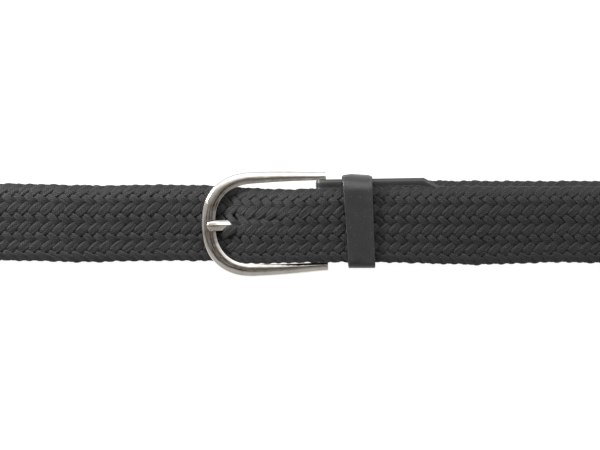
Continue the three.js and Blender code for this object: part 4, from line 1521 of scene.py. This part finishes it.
far_way = add(room, VECTOR_MATH, [direction, WINDOWS_WAY], operation="DOT_PRODUCT").outputs["Value"]
far_share = add(room, "ShaderNodeMapRange",
                {"Value": far_way, "From Min": WINDOWS_FADE["from"], "From Max": WINDOWS_FADE["to"]},
                interpolation_type="SMOOTHSTEP")
walls = add(room, "ShaderNodeMix", {0: far_share, 6: linear("#e4dfd9"), 7: linear("#ffffff")},
            data_type="RGBA")
far_light = add(room, "ShaderNodeMapRange",
                {"Value": up_way, "From Min": WINDOW_SILL["from"], "From Max": WINDOW_SILL["to"],
                 "To Min": FAR_WALL, "To Max": FAR_WINDOWS}, interpolation_type="SMOOTHSTEP")
light = add(room, "ShaderNodeMapRange",
            {"Value": far_share, "To Min": NEAR_LIGHT, "To Max": far_light.outputs["Result"]})
streaks = add(room, VECTOR_MATH, [direction, STREAKS["stretch"]], operation="MULTIPLY")
streaks = add(room, "ShaderNodeTexNoise", {"Vector": streaks, "Scale": 1.0, "Detail": 2.0})
streaks = add(room, "ShaderNodeMapRange",
              {"Value": streaks.outputs["Fac"], "From Min": STREAKS["from"], "From Max": STREAKS["to"],
               "To Min": STREAKS["darkest"], "To Max": STREAKS["brightest"]})
light = add(room, MATH, [light, streaks], operation="MULTIPLY")
walls = add(room, VECTOR_MATH, {0: walls, "Scale": light}, operation="SCALE")
print("the far windows are", round(FAR_WINDOWS / NEAR_LIGHT, 1), "times as bright as the near side")

# %% [markdown]
# Overhead the room is a long brown dusk, where the lamps are off. The flat tops of the buckle mirror
# it, and without it they would be as white as the sheet. It is an ellipse with a soft rim, and dim
# beams in it keep the metal from one even brown.

# %% The dusk overhead
DUSK_CENTRE = (-0.1, -0.12, 0.0)
DUSK_REACH = (0.85, 0.38)
DUSK_FULL_WITHIN = 0.5
BEAMS = {"scale": 7.0, "from": 0.38, "to": 0.62}

from_centre = add(room, VECTOR_MATH, [direction, DUSK_CENTRE], operation="SUBTRACT")
from_centre = add(room, VECTOR_MATH, [from_centre, (1 / DUSK_REACH[0], 1 / DUSK_REACH[1], 0.0)],
                  operation="MULTIPLY")
from_centre = add(room, VECTOR_MATH, [from_centre], operation="LENGTH").outputs["Value"]
overhead = add(room, "ShaderNodeMapRange",
               {"Value": from_centre, "From Min": DUSK_FULL_WITHIN, "To Min": 1.0, "To Max": 0.0},
               interpolation_type="SMOOTHSTEP")
beams = add(room, "ShaderNodeTexNoise", {"Vector": direction, "Scale": BEAMS["scale"], "Detail": 1.0})
beams = add(room, "ShaderNodeMapRange",
            {"Value": beams.outputs["Fac"], "From Min": BEAMS["from"], "From Max": BEAMS["to"]},
            interpolation_type="SMOOTHSTEP")
dusk = add(room, "ShaderNodeMix", {0: beams, 6: linear("#453f3b"), 7: linear("#98928b")}, data_type="RGBA")
sky = add(room, "ShaderNodeMix", {0: overhead, 6: walls, 7: dusk}, data_type="RGBA")
room.links.new(sky.outputs[2], room.nodes["Background"].inputs["Color"])
print("the room has", len(room.nodes), "nodes")

# %% [markdown]
# One small soft lamp stands low on the far left. Its light rakes over the plait, so that each cord
# gets a bright side and a dark one, and the left of the strap is a little brighter than the right.
# The colours are shown as they are worked out, because the white sheet has to stay white.

# %% The lamp
LAMP = {"place": (-380, 220, 200), "size": 140, "watts": 2.6}

lamp = bpy.data.lights.new("far_softbox", "AREA")
lamp.size = LAMP["size"] * MM
lamp.energy = LAMP["watts"]
lamp_object = bpy.data.objects.new("far_softbox", lamp)
lamp_object.location = Vector(LAMP["place"]) * MM
lamp_object.rotation_euler = (-Vector(LAMP["place"])).to_track_quat("-Z", "Y").to_euler()
bpy.context.collection.objects.link(lamp_object)
bpy.context.scene.view_settings.view_transform = "Standard"
print("the lamp is", round(Vector(LAMP["place"]).length), "mm away")
